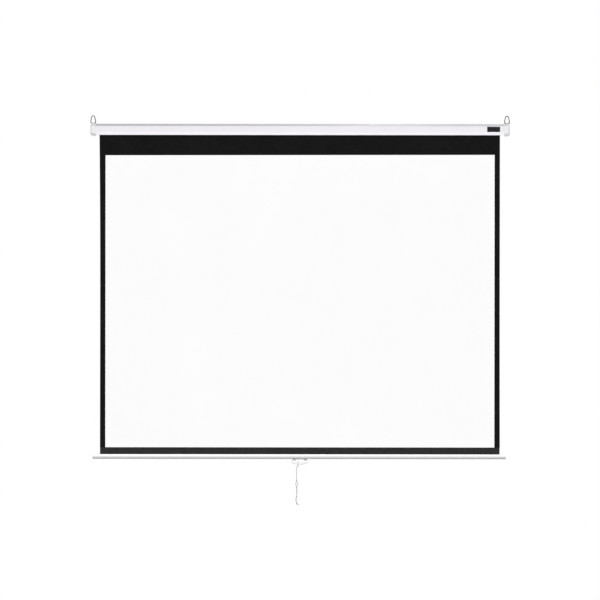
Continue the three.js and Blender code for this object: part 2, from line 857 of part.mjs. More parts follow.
function lowerBorder() {
  const loop = HEM_ROD_RADIUS + GAP + FABRIC_THICKNESS / 2;
  const middle = [new THREE.Vector2(FABRIC_Y, SPLIT_Z), new THREE.Vector2(FABRIC_Y, HEM_Z + 6.8)];
  const loopSteps = 14;
  for (let k = 0; k <= loopSteps; k += 1) {
    const angle = (130 + (280 * k) / loopSteps) * DEG;
    middle.push(
      new THREE.Vector2(FABRIC_Y + loop * Math.cos(angle), HEM_Z + loop * Math.sin(angle)),
    );
  }
  middle.push(new THREE.Vector2(FABRIC_Y + 0.95, HEM_Z + 5.6));
  return extrudeX(
    sheetOutline(middle, FABRIC_THICKNESS),
    -FABRIC_HALF_WIDTH,
    FABRIC_HALF_WIDTH,
  );
}

addPiece('lower_border', lowerBorder(), 'maskBlack');
addPiece(
  'hem_rod',
  extrudeX(
    circleShape(FABRIC_Y, HEM_Z, HEM_ROD_RADIUS),
    -FABRIC_HALF_WIDTH + 2,
    FABRIC_HALF_WIDTH - 2,
    SMALL_CURVES,
  ),
  'springSteel',
);

// Weight bar: a round section that is rolled in at the top to a slot, lower in front than behind
const barGroup = new THREE.Group();
barGroup.position.x = BAR_SHIFT_X;
screen.add(barGroup);

function barLine() {
  const radius = BAR_RADIUS - BAR_WALL / 2;
  const slotHalf = 1.7;
  const shoulderZ = BAR_SHOULDER_Z - BAR_WALL / 2;
  const shoulderAngle = Math.asin((shoulderZ - BAR_Z) / radius);
  const rearLipY = FABRIC_Y + slotHalf;
  const rearAngle = Math.acos((rearLipY - BAR_Y) / radius);
  const frontLipY = FABRIC_Y - slotHalf;
  const line = [new THREE.Vector2(rearLipY, BAR_SHOULDER_Z - 1.5)];
  const steps = 26;
  const from = rearAngle;
  const to = -Math.PI - shoulderAngle;
  for (let k = 0; k <= steps; k += 1) {
    const angle = from + ((to - from) * k) / steps;
    line.push(
      new THREE.Vector2(BAR_Y + radius * Math.cos(angle), BAR_Z + radius * Math.sin(angle)),
    );
  }
  line.push(new THREE.Vector2(frontLipY, shoulderZ));
  line.push(new THREE.Vector2(frontLipY, shoulderZ - 2));
  return line;
}

addPiece(
  'bottom_bar',
  extrudeX(sheetOutline(barLine(), BAR_WALL), -BAR_HALF_LENGTH, BAR_HALF_LENGTH),
  'barWhite',
  barGroup,
);

function barCap() {
  const outerX = BAR_HALF_LENGTH + GAP + BAR_CAP;
  const face = turnX(
    [
      [0, BAR_HALF_LENGTH + GAP],
      [BAR_RADIUS, BAR_HALF_LENGTH + GAP],
      [BAR_RADIUS, outerX - 1.2],
      [BAR_RADIUS - 1.4, outerX],
      [0, outerX],
    ],
    BAR_Y,
    BAR_Z,
    28,
  );
  const plug = extrudeX(
    circleShape(BAR_Y, BAR_Z, BAR_RADIUS - BAR_WALL - GAP - 0.2),
    BAR_HALF_LENGTH - 12,
    BAR_HALF_LENGTH + 1,
  );
  const lipRoom = box(
    BAR_HALF_LENGTH - 13,
    BAR_HALF_LENGTH + GAP,
    BAR_Y - BAR_RADIUS,
    BAR_Y + BAR_RADIUS,
    HEM_Z + 4,
    BAR_Z + BAR_RADIUS,
  );
  return join(face, cut(plug, lipRoom));
}

const barCapGeometry = weld(barCap());
addPiece('bar_cap_right', barCapGeometry, 'barWhite', barGroup);
addPiece('bar_cap_left', mirrored(barCapGeometry), 'barWhite', barGroup);

// Handle bracket: a plate under the bar with two rolled eyes that carry the handle's pins
const BAR_BOTTOM_Z = BAR_Z - BAR_RADIUS;
const BRACKET_PLATE_TOP = BAR_BOTTOM_Z - GAP;
const BRACKET_PLATE = 1.2;
const BRACKET_HALF = 37;
const EYE_INNER_X = 20.4;
const EYE_OUTER_X = 36.8;
const EYE_RADIUS = 3.2;
const EYE_BORE = 2;
const BRACKET_SCREW_X = 11;

function handleBracket() {
  const w = BRACKET_HALF;
  const plateOutline = roundCorners([[-w, -7.5, 3], [w, -7.5, 3], [w, 7.5, 3], [-w, 7.5, 3]]);
  const plate = new THREE.ExtrudeGeometry(new THREE.Shape(plateOutline), {
    depth: BRACKET_PLATE,
    bevelEnabled: false,
  });
  plate.translate(0, BAR_Y, BRACKET_PLATE_TOP - BRACKET_PLATE);
  const parts = [plate];
  const bores = [];
  for (const side of [-1, 1]) {
    const [from, to] = [side * EYE_INNER_X, side * EYE_OUTER_X].sort((a, b) => a - b);
    const eye = circleShape(BAR_Y, HANDLE_PIVOT_Z, EYE_RADIUS);
    const bore = circleShape(BAR_Y, HANDLE_PIVOT_Z, EYE_BORE);
    parts.push(extrudeX(eye, from, to, SMALL_CURVES));
    parts.push(
      box(from, to, BAR_Y - 2.6, BAR_Y + 2.6, HANDLE_PIVOT_Z + 1, BRACKET_PLATE_TOP - 0.5),
    );
    bores.push(extrudeX(bore, from - 1, to + 1, SMALL_CURVES));
    const hole = new THREE.CylinderGeometry(1.6, 1.6, 6, 12);
    hole.rotateX(Math.PI / 2);
    hole.translate(side * BRACKET_SCREW_X, BAR_Y, BRACKET_PLATE_TOP);
    bores.push(hole);
  }
  return cut(join(...parts), ...bores);
}

addPiece('handle_bracket', handleBracket(), 'springSteel');

for (const [i, side] of [-1, 1].entries()) {
  const screw = new THREE.LatheGeometry(
    [
      new THREE.Vector2(0, -2.2),
      new THREE.Vector2(1.8, -1.9),
      new THREE.Vector2(2.8, -0.9),
      new THREE.Vector2(2.8, -GAP),
      new THREE.Vector2(1.3, -GAP),
      new THREE.Vector2(1.3, BRACKET_PLATE),
      new THREE.Vector2(0, BRACKET_PLATE),
    ],
    12,
  );
  screw.rotateX(Math.PI / 2);
  screw.translate(side * BRACKET_SCREW_X, BAR_Y, BRACKET_PLATE_TOP - BRACKET_PLATE);
  addPiece(`handle_screw_${i + 1}`, screw, 'zincSteel');
}

// Pull handle: a boat-shaped bail with moulded pins that turn in the bracket's eyes
const HANDLE_HALF = 43.5;
const HANDLE_BOTTOM_Z = -1747.5;

function handleBail() {
  const p = HANDLE_PIVOT_Z;
  const inner = EYE_OUTER_X + GAP + 0.2;
  const shape = new THREE.Shape();
  shape.moveTo(-inner, p + 3);
  shape.lineTo(-HANDLE_HALF + 2.5, p + 3);
  shape.quadraticCurveTo(-HANDLE_HALF, p + 2, -HANDLE_HALF, p - 1);
  shape.lineTo(-HANDLE_HALF - 0.8, p - 8);
  shape.quadraticCurveTo(-HANDLE_HALF - 1.2, p - 12.4, -HANDLE_HALF + 3, p - 16.4);
  shape.quadraticCurveTo(-HANDLE_HALF + 5, p - 17.6, -HANDLE_HALF + 9, p - 18.2);
  shape.quadraticCurveTo(-18, HANDLE_BOTTOM_Z, 0, HANDLE_BOTTOM_Z);
  shape.quadraticCurveTo(18, HANDLE_BOTTOM_Z, HANDLE_HALF - 9, p - 18.2);
  shape.quadraticCurveTo(HANDLE_HALF - 5, p - 17.6, HANDLE_HALF - 3, p - 16.4);
  shape.quadraticCurveTo(HANDLE_HALF + 1.2, p - 12.4, HANDLE_HALF + 0.8, p - 8);
  shape.lineTo(HANDLE_HALF, p - 1);
  shape.quadraticCurveTo(HANDLE_HALF, p + 2, HANDLE_HALF - 2.5, p + 3);
  shape.lineTo(inner, p + 3);
  shape.lineTo(inner, p - 4.2);
  shape.quadraticCurveTo(inner - 0.5, p - 6, inner - 3, p - 6);
  shape.quadraticCurveTo(18, p - 8.6, 0, p - 8.6);
  shape.quadraticCurveTo(-18, p - 8.6, -inner + 3, p - 6);
  shape.quadraticCurveTo(-inner + 0.5, p - 6, -inner, p - 4.2);
  const edge = 1.6;
  const bail = new THREE.ExtrudeGeometry(shape, {
    depth: HANDLE_THICKNESS - 2 * edge,
    bevelThickness: edge,
    bevelSize: edge,
    bevelOffset: -edge,
    bevelSegments: 2,
    curveSegments: 3,
  });
  bail.rotateX(Math.PI / 2);
  bail.translate(0, BAR_Y + HANDLE_THICKNESS / 2 - edge, 0);
  const pins = [-1, 1].map((side) => {
    const ends = [side * (EYE_INNER_X + 2), side * (inner + 3)].sort((a, b) => a - b);
    return extrudeX(circleShape(BAR_Y, p, EYE_BORE - GAP), ...ends, SMALL_CURVES);
  });
  return join(bail, ...pins);
}

addPiece('handle_bail', handleBail(), 'handleWhite');

// Pull cord: tied round the handle's grip, then hanging, its spare end doubled back up and knotted
const TIE_TOP_Z = HANDLE_PIVOT_Z - 8.4;
const TIE_END_Z = HANDLE_BOTTOM_Z - 1.9;

function tieLoop() {
  const off = CORD_DIAMETER / 2 + GAP + 0.1;
  const front = BAR_Y - HANDLE_THICKNESS / 2 - off;
  const back = BAR_Y + HANDLE_THICKNESS / 2 + off;
  const top = TIE_TOP_Z + off;
  const corner = 2;
  const line = [
    [front, TIE_END_Z],
    [front, (top + TIE_END_Z) / 2],
    [front, top - 3],
    [front + 0.5, top - 0.8],
    [front + corner + 0.6, top],
    [BAR_Y, top + 0.1],
    [back - corner - 0.6, top],
    [back - 0.5, top - 0.8],
    [back, top - 3],
    [back, (top + TIE_END_Z) / 2],
    [back, TIE_END_Z],
  ].map(([y, z]) => new THREE.Vector3(CORD_TIE_X, y, z));
  return wireAlong(line, CORD_DIAMETER, 28, CORD_SIDES);
}

addPiece('cord_tie_loop', tieLoop(), 'cordWhite');

const CORD_X = -16.6;
const KNOT_REACH = 2.1;
const KNOT_HEIGHT = 5;
const TIE_KNOT_X = -10.5;
const TIE_KNOT_Z = -1752.7;
const UPPER_KNOT_Z = -1829.8;
const MIDDLE_KNOT_Z = -1865.3;
const LOWER_KNOT_Z = -1912.2;
const END_KNOT_X = -15.6;
const END_KNOT_Z = -1949.8;

// A pear-shaped knot that one or two strands run into
function solidKnot(x, z, radius, height) {
  const knot = new THREE.LatheGeometry(
    [
      new THREE.Vector2(0, -height / 2),
      new THREE.Vector2(radius * 0.6, -height * 0.42),
      new THREE.Vector2(radius * 0.96, -height * 0.18),
      new THREE.Vector2(radius, height * 0.08),
      new THREE.Vector2(radius * 0.82, height * 0.34),
      new THREE.Vector2(radius * 0.5, height / 2),
      new THREE.Vector2(0, height / 2),
    ],
    12,
  );
  knot.rotateX(Math.PI / 2);
  return knot.translate(x, BAR_Y, z);
}

addPiece('cord_tie_knot', solidKnot(TIE_KNOT_X, TIE_KNOT_Z, 4.6, 9.8), 'cordWhite');

// Points of a route are given as x, z and how far behind the bar's middle they lie
function strandPoints(route) {
  return route.map(([x, z, behind]) => new THREE.Vector3(x, BAR_Y + behind, z));
}

// A strand runs straight down through a knot, the hanging one in front and its spare end behind it
function throughKnot(z, behind) {
  return [[CORD_X, z + 4, behind], [CORD_X, z - 4, behind]];
}

const cordRoute = [
  [-13, -1757.5, 0],
  [-15.2, -1760.4, 0],
  [-16.5, -1765, 0],
  [-16.8, -1775, 0],
  [-17, -1785, 0],
  [-17.1, -1798, 0],
  [-17.1, -1811, -0.3],
  [-16.9, -1819.5, -1.4],
  ...throughKnot(UPPER_KNOT_Z, -KNOT_REACH),
  [-18.4, -1837.8, -1.4],
  [-20.6, -1842.8, -0.4],
  [-20.9, -1849, -0.3],
  [-19.2, -1855.6, -1.2],
  ...throughKnot(MIDDLE_KNOT_Z, -KNOT_REACH),
  [-16.4, -1875, -2],
  [-16, -1884, -1.9],
  [-16, -1894, -2],
  [-16.3, -1902, -KNOT_REACH],
  ...throughKnot(LOWER_KNOT_Z, -KNOT_REACH),
  [-17.8, -1921.5, -2],
  [-18.5, -1927.5, -1.9],
  [-18.2, -1934, -1.9],
  [-17.2, -1939.6, -2],
  [-16.8, -1944.1, -KNOT_REACH],
];

const spareRoute = [
  [-16.8, -1944.1, KNOT_REACH],
  [-17.8, -1939.6, 2],
  [-19.9, -1934, 1.9],
  [-20.5, -1927.5, 1.9],
  [-19, -1921.5, 2],
  ...throughKnot(LOWER_KNOT_Z, KNOT_REACH).reverse(),
  [-16, -1902, KNOT_REACH],
  [-15, -1894, 2.1],
  [-13.8, -1884, 2],
  [-14.4, -1875, 2.1],
  ...throughKnot(MIDDLE_KNOT_Z, KNOT_REACH).reverse(),
  [-13.6, -1856, 1.2],
  [-10.8, -1850, 0.3],
  [-10.4, -1844, 0.3],
  [-13.2, -1838.4, 1.2],
  ...throughKnot(UPPER_KNOT_Z - 2, KNOT_REACH).reverse(),
];

addPiece('pull_cord', wireAlong(strandPoints(cordRoute), CORD_DIAMETER, 44, CORD_SIDES), 'cordWhite');
addPiece('cord_return', wireAlong(strandPoints(spareRoute), CORD_DIAMETER, 34, CORD_SIDES), 'cordWhite');

// A binding knot, drawn as the ring that closes round both strands
function bindingKnot(z) {
  const strand = CORD_DIAMETER / 2 + GAP + 0.25;
  const outline = new THREE.Shape();
  outline.absellipse(0, 0, strand + 1.4, KNOT_REACH + strand + 1.4, 0, 2 * Math.PI, false, 0);
  const hole = new THREE.Path();
  hole.absellipse(0, 0, strand + 0.2, KNOT_REACH + strand + 0.2, 0, 2 * Math.PI, true, 0);
  outline.holes.push(hole);
  const knot = new THREE.ExtrudeGeometry(outline, {
    depth: KNOT_HEIGHT,
    bevelEnabled: false,
    curveSegments: 8,
  });
  return knot.translate(CORD_X, BAR_Y, z - KNOT_HEIGHT / 2);
}

addPiece('cord_knot_upper', bindingKnot(UPPER_KNOT_Z), 'cordWhite');
addPiece('cord_knot_middle', bindingKnot(MIDDLE_KNOT_Z), 'cordWhite');
addPiece('cord_knot_lower', bindingKnot(LOWER_KNOT_Z), 'cordWhite');
addPiece('cord_end_knot', solidKnot(END_KNOT_X, END_KNOT_Z, 5, 10), 'cordWhite');

// Hanger rings: steel wire bent to a narrow arch, its feet turned in to the cap's ear
function hangerRing(centreX) {
  const foot = 1.2;
  const rightHalf = [
    [foot, RING_PIVOT_Z],
    [7.5, RING_PIVOT_Z],
    [10.4, RING_PIVOT_Z + 0.2],
    [12, RING_PIVOT_Z + 2],
    [12.6, RING_PIVOT_Z + 5.4],
    [12.2, RING_PIVOT_Z + 10.9],
    [11, RING_PIVOT_Z + 17.4],
    [9.5, RING_PIVOT_Z + 23.9],
    [7.9, RING_PIVOT_Z + 29.9],
    [6, RING_PIVOT_Z + 34.4],
    [3.2, RING_PIVOT_Z + 36.7],
  ];
  const leftHalf = rightHalf.map(([x, z]) => [-x, z]).reverse();
  const line = [...rightHalf, [0, RING_PIVOT_Z + 37.2], ...leftHalf];
  const points = line.map(([x, z]) => new THREE.Vector3(centreX + x, EAR_Y, z));
  return wireAlong(points, RING_WIRE, 40);
}

addPiece('hanger_ring_right', hangerRing(EAR_X), 'darkWire');
addPiece('hanger_ring_left', hangerRing(-EAR_X), 'darkWire');

export default screen;
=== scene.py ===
# %% [markdown]
# # Dressing a pull-down projection screen
#
# The imported CAD model of the screen already has every piece at its real place and size: the slim
# case on the wall, the spring roller inside it, the sheet that hangs down, the weight bar, the pull
# handle and its cord. This lesson gives that model its looks. What moves in the CAD model keeps
# moving: each new piece is hung on the CAD body that carries it.
#
# We start from an empty file and load the CAD model as a fixed frame.

# %% Load the frame
import json
import math

import bmesh
import bpy
from mathutils import Matrix, Vector, noise

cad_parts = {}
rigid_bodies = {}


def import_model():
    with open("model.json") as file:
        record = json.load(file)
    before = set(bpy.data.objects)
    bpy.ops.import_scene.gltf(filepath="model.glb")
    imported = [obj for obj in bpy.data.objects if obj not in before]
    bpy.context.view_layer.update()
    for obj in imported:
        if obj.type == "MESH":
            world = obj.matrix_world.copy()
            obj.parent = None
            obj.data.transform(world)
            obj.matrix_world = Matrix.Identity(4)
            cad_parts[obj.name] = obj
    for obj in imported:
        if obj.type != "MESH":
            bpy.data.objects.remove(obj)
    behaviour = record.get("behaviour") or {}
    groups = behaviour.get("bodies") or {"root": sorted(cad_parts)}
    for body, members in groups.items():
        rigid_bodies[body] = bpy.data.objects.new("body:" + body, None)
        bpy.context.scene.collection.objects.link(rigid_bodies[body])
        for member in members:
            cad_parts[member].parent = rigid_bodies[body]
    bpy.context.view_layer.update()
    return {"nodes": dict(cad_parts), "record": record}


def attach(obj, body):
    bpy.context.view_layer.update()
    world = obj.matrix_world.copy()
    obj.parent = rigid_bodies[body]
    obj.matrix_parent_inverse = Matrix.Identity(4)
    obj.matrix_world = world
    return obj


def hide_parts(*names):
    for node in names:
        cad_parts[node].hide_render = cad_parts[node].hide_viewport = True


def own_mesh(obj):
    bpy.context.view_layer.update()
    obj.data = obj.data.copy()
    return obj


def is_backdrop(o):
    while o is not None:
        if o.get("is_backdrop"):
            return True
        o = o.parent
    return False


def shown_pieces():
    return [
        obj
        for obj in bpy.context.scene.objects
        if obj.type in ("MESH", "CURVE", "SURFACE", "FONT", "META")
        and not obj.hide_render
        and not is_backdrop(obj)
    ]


for leftover in list(bpy.data.objects):
    bpy.data.objects.remove(leftover)

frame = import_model()
nodes = frame["nodes"]
scene = bpy.context.scene
MM = 0.001

# %% [markdown]
# ## The camera
#
# The photograph looks at the screen from straight in front, halfway down, and the long edges stay
# parallel. That is what a very long lens far away gives. We choose the lens first, and the distance
# follows from the width that the picture has to span at the sheet. The whole picture is turned by
# a small part of a degree, so the camera gets that roll too.

# %% Place the camera
SHEET_Y = -16.195
PICTURE_SPAN = 3127.8
CAMERA_HEIGHT = -888.4
CAMERA_ACROSS = 0.3
CAMERA_ROLL = math.radians(0.06)
LENS = 500
SENSOR = 36

camera_data = bpy.data.cameras.new("camera")
camera_data.lens = LENS
camera_data.sensor_width = SENSOR
camera_data.clip_start = 1
camera_data.clip_end = 200
camera_distance = PICTURE_SPAN * LENS / SENSOR
camera = bpy.data.objects.new("camera", camera_data)
scene.collection.objects.link(camera)
scene.camera = camera
level = Matrix.Rotation(math.radians(90), 4, "X")
roll = Matrix.Rotation(CAMERA_ROLL, 4, "Z")
stand = Matrix.Translation(
    Vector((CAMERA_ACROSS, SHEET_Y - camera_distance, CAMERA_HEIGHT)) * MM)
camera.matrix_world = stand @ level @ roll
print("camera distance in metres:", round(camera_distance * MM, 2))

# %% [markdown]
# ## The cord's two strands
#
# The pull cord is tied round the handle's grip and hangs down. Its spare end is doubled back up
# beside it, and the two strands are knotted together three times on the way. Both strands are drawn
# as routes, in millimetres: how far across, how high, and how far behind the bar's middle the cord
# passes. In the knots the hanging strand lies in front and the spare one behind it, so that a knot
# is hardly wider than the cord, as in the photograph. Between the upper two they stand apart and
# leave an eye to hook the screen down by.

# %% Lay out the cord
CORD = 3.6
CORD_Y = -18
CORD_X = -16.6
KNOT_REACH = 2.1
KNOT_HALF = 4
STRAND_STEP = 1.3
TIE_X = -9.5
TIE_KNOT = (-10.5, -1752.7)
UPPER_KNOT, MIDDLE_KNOT, LOWER_KNOT = -1829.8, -1865.3, -1912.2
END_KNOT = (-15.6, -1949.8)
FRONT, BEHIND = -KNOT_REACH, KNOT_REACH


def through(height, depth):
    """A strand runs straight down through a knot."""
    return [(CORD_X, height + KNOT_HALF, depth), (CORD_X, height - KNOT_HALF, depth)]


hanging_route = [
    (-13, -1757.5, 0), (-15.2, -1760.4, 0), (-16.5, -1765, 0), (-16.8, -1775, 0), (-17, -1785, 0),
    (-17.1, -1798, 0), (-17.1, -1811, -0.3), (-16.9, -1819.5, -1.4), *through(UPPER_KNOT, FRONT),
    (-18.4, -1837.8, -1.4), (-20.6, -1842.8, -0.4), (-20.9, -1849, -0.3), (-19.2, -1855.6, -1.2),
    *through(MIDDLE_KNOT, FRONT),
    (-16.4, -1875, -2), (-16, -1884, -1.9), (-16, -1894, -2), (-16.3, -1902, FRONT),
    *through(LOWER_KNOT, FRONT),
    (-17.8, -1921.5, -2), (-18.5, -1927.5, -1.9), (-18.2, -1934, -1.9), (-17.2, -1939.6, -2),
    (-16.8, -1944.1, FRONT), (-16.1, -1948, -0.9),
]
spare_route = [
    (-16.1, -1948, 0.9), (-16.8, -1944.1, BEHIND), (-17.8, -1939.6, 2), (-19.9, -1934, 1.9),
    (-20.5, -1927.5, 1.9), (-19, -1921.5, 2), *reversed(through(LOWER_KNOT, BEHIND)),
    (-16, -1902, BEHIND), (-15, -1894, 2.1), (-13.8, -1884, 2), (-14.4, -1875, 2.1),
    *reversed(through(MIDDLE_KNOT, BEHIND)),
    (-13.6, -1856, 1.2), (-10.8, -1850, 0.3), (-10.4, -1844, 0.3), (-13.2, -1838.4, 1.2),
    *reversed(through(UPPER_KNOT - 2, BEHIND)),
]
print("places on the hanging strand:", len(hanging_route), "and on the spare one:", len(spare_route))

# %% [markdown]
# A route is only a few places. A Catmull-Rom curve passes through every one of them, and we walk
# along it in even steps, so that the twisted cord is drawn equally fine all along.

# %% Turn the routes into smooth lines
def smooth_line(points, spacing, steps=24):
    """A smooth curve through the points (Catmull-Rom), as points an even distance apart."""
    points = [Vector(p) for p in points]
    ends = [2 * points[0] - points[1], *points, 2 * points[-1] - points[-2]]
    fine = []
    for a, b, c, d in zip(ends, ends[1:], ends[2:], ends[3:]):
        for step in range(steps):
            t = step / steps
            fine.append(
                0.5 * (2 * b + (c - a) * t + (2 * a - 5 * b + 4 * c - d) * t * t
                       + (3 * b - a - 3 * c + d) * t ** 3)
            )
    fine.append(points[-1])
    length = sum((q - p).length for p, q in zip(fine, fine[1:]))
    count = max(2, round(length / spacing))
    even = [fine[0]]
    walked = 0.0
    for p, q in zip(fine, fine[1:]):
        step = (q - p).length
        while len(even) < count and walked + step >= length * len(even) / count:
            even.append(p.lerp(q, (length * len(even) / count - walked) / step))
        walked += step
    return even + [fine[-1]]


def line_length(points):
    """How long a line through these points is."""
    return sum((q - p).length for p, q in zip(points, points[1:]))


def strand_line(route):
    """A route's places, written as across, height and how far behind, as an even line in space."""
    return smooth_line([(x, CORD_Y + behind, z) for x, z, behind in route], STRAND_STEP)


hanging_line = strand_line(hanging_route)
spare_line = strand_line(spare_route)
print("hanging strand:", round(line_length(hanging_line)), "mm, spare strand:",
      round(line_length(spare_line)), "mm")

# %% [markdown]
# ## Studio light
#
# A white object on white needs light that is even but not flat. The world is white to the camera,
# and a weak even glow to everything else. The rest is soft suns from the front, each for its own
# pieces, because in the photograph they are lit from different heights:
#
# - the case from a little below, which leaves its upper bevel grey and brightens the lower one;
# - its caps from almost level, so that their rounded tops and undersides both turn a little grey;
# - the bar and the handle from above, so that their undersides fall into shade;
# - the hanging cord from above too, but weakly, because it reads greyer than the handle;
# - the cloth from straight ahead, so that it is the same white from top to bottom.
#
# A small lamp above the right half lifts the upper bevel, which grows lighter from left to right, and
# a weak sun from behind shows the back in the other views. The world comes first.

# %% Set up the world
scene.view_settings.view_transform = "Standard"
WORLD_GLOW = 0.36

world = bpy.data.worlds.new("studio")
scene.world = world
world.use_nodes = True
tree = world.node_tree
tree.nodes.clear()
rays = tree.nodes.new("ShaderNodeLightPath")
either = tree.nodes.new("ShaderNodeMath")
either.operation = "MAXIMUM"
any_view = tree.nodes.new("ShaderNodeMath")
any_view.operation = "MAXIMUM"
seen = tree.nodes.new("ShaderNodeBackground")
seen.inputs["Color"].default_value = (1, 1, 1, 1)
glow = tree.nodes.new("ShaderNodeBackground")
glow.inputs["Color"].default_value = (1, 1, 1, 1)
glow.inputs["Strength"].default_value = WORLD_GLOW
choose = tree.nodes.new("ShaderNodeMixShader")
out = tree.nodes.new("ShaderNodeOutputWorld")
tree.links.new(rays.outputs["Is Camera Ray"], either.inputs[0])
tree.links.new(rays.outputs["Is Glossy Ray"], either.inputs[1])
tree.links.new(either.outputs[0], any_view.inputs[0])
tree.links.new(rays.outputs["Is Transmission Ray"], any_view.inputs[1])
tree.links.new(any_view.outputs[0], choose.inputs["Fac"])
tree.links.new(glow.outputs[0], choose.inputs[1])
tree.links.new(seen.outputs[0], choose.inputs[2])
tree.links.new(choose.outputs[0], out.inputs["Surface"])
print("the world glows at", WORLD_GLOW)

# %% [markdown]
# Now the lamps. Cycles can tell a lamp which objects it lights: that is its receiver collection. We
# make one collection for each kind of piece here, and fill them at the end, when the pieces are
# there.

# %% Set up the lamps
def add_lamp(name, kind, strength, place, aim, receivers, **settings):
    """A lamp at a place, turned to a point, that lights only the named collection."""
    lamp = bpy.data.lights.new(name, kind)
    lamp.energy = strength
    for key, value in settings.items():
        setattr(lamp, key, value)
    holder = bpy.data.objects.new(name, lamp)
    scene.collection.objects.link(holder)
    heading = Vector(aim) - Vector(place)
    holder.rotation_euler = heading.to_track_quat("-Z", "Y").to_euler()
    holder.location = place
    holder.light_linking.receiver_collection = receivers
    return holder


def from_height(degrees):
    """A place in front of the screen, in metres, at this many degrees above level."""
    above = math.radians(degrees)
    return (0, -SUN_AWAY * math.cos(above), SUN_AWAY * math.sin(above))


cloth_group = bpy.data.collections.new("lit_cloth")
case_group = bpy.data.collections.new("lit_case")
cap_group = bpy.data.collections.new("lit_caps")
cord_group = bpy.data.collections.new("lit_cord")
hard_group = bpy.data.collections.new("lit_hard_pieces")
floor_group = bpy.data.collections.new("lit_floor")
all_group = bpy.data.collections.new("lit_all")
SUN_AWAY = 3
SOFT = math.radians(40)
ORIGIN = (0, 0, 0)
front_suns = [
    ("cloth_sun", 2.03, 0, cloth_group),
    ("case_sun", 2.27, -33, case_group),
    ("cap_sun", 1.95, 4, cap_group),
    ("cord_sun", 0.9, 40, cord_group),
    ("hard_sun", 2.4, 40, hard_group),
]
for name, strength, degrees, receivers in front_suns:
    add_lamp(name, "SUN", strength, from_height(degrees), ORIGIN, receivers, angle=SOFT)
add_lamp("bevel_lamp", "AREA", 5.6, (0.5, -0.2, 1.6), (0.7, 0, 0), case_group, size=0.5)
add_lamp("back_sun", "SUN", 1.6, (1.2, 3, 1.8), ORIGIN, all_group, angle=SOFT)
add_lamp("floor_sun", "SUN", 1.9, (0, -1, 3), ORIGIN, floor_group, angle=SOFT)

# %% [markdown]
# ## Finishes
#
# Real surfaces are never one flat colour. Each finish below is a Principled shader whose colour
# and roughness drift a little with a noise, and a finer noise gives it its grain. The noises work in
# metres, in the object's own coordinates, so the grain has its real size and stays with the piece.

# %% Write the shader and noise helpers
def new_finish(name, colour, roughness, metallic=0.0, **sockets):
    """A Principled material; further sockets are named as Blender does, with _ for the spaces."""
    material = bpy.data.materials.new(name)
    material.use_nodes = True
    shader = material.node_tree.nodes["Principled BSDF"]
    shader.inputs["Base Color"].default_value = (*colour, 1)
    shader.inputs["Roughness"].default_value = roughness
    shader.inputs["Metallic"].default_value = metallic
    for key, value in sockets.items():
        shader.inputs[key.replace("_", " ")].default_value = value
    return material


def noise_field(material, size, stretch=(1, 1, 1), detail=3.0):
    """A noise whose blotches are about size metres wide, drawn out along the stretched axes."""
    tree = material.node_tree
    where = tree.nodes.new("ShaderNodeTexCoord")
    mapping = tree.nodes.new("ShaderNodeMapping")
    mapping.inputs["Scale"].default_value = [1 / s for s in stretch]
    field = tree.nodes.new("ShaderNodeTexNoise")
    field.inputs["Scale"].default_value = 1 / size
    field.inputs["Detail"].default_value = detail
    tree.links.new(where.outputs["Object"], mapping.inputs["Vector"])
    tree.links.new(mapping.outputs["Vector"], field.inputs["Vector"])
    return field.outputs["Fac"]


print("shaders and noises can be made")

# %% [markdown]
# Three more helpers join the two: one lets the colour drift between two near tones, one lets the
# roughness drift, and one raises the grain with a bump. A noise keeps mostly to the middle of its
# range, so a drift runs from one end to the other between FIELD_LOW and FIELD_HIGH.

# %% Write the drift and grain helpers
FIELD_LOW, FIELD_HIGH = 0.3, 0.7


def drift_colour(material, first, second, field):
    """Lets the colour wander between two near tones."""
    tree = material.node_tree
    ramp = tree.nodes.new("ShaderNodeValToRGB")
    ramp.color_ramp.elements[0].position = FIELD_LOW
    ramp.color_ramp.elements[0].color = (*first, 1)
    ramp.color_ramp.elements[1].position = FIELD_HIGH
    ramp.color_ramp.elements[1].color = (*second, 1)
    tree.links.new(field, ramp.inputs["Fac"])
    tree.links.new(ramp.outputs["Color"], tree.nodes["Principled BSDF"].inputs["Base Color"])


def drift_roughness(material, low, high, field):
    """Lets the roughness wander between two values."""
    tree = material.node_tree
    scaled = tree.nodes.new("ShaderNodeMapRange")
    scaled.inputs["From Min"].default_value = FIELD_LOW
    scaled.inputs["From Max"].default_value = FIELD_HIGH
    scaled.inputs["To Min"].default_value = low
    scaled.inputs["To Max"].default_value = high
    tree.links.new(field, scaled.inputs["Value"])
    tree.links.new(scaled.outputs["Result"], tree.nodes["Principled BSDF"].inputs["Roughness"])


def raise_grain(material, height, strength, depth):
    """A bump: depth is how far the grain stands out, in metres."""
    tree = material.node_tree
    bump = tree.nodes.new("ShaderNodeBump")
    bump.inputs["Strength"].default_value = strength
    bump.inputs["Distance"].default_value = depth
    tree.links.new(height, bump.inputs["Height"])
    tree.links.new(bump.outputs["Normal"], tree.nodes["Principled BSDF"].inputs["Normal"])


def grey(level, blue=0.0):
    """A neutral tone, with a little more blue where it is asked for."""
    return (level, level, level + blue)


print("finishes can drift and have a grain")

# %% [markdown]
# ### Enamel, moulded plastic and nylon
#
# The case and the bar are roll-formed steel sheet, stove-enamelled: smooth, with the slight orange
# peel of sprayed paint. The case's white leans a little to lavender. The caps are a greyer moulded
# plastic with a fine spark-eroded texture, the handle is a smoother one.

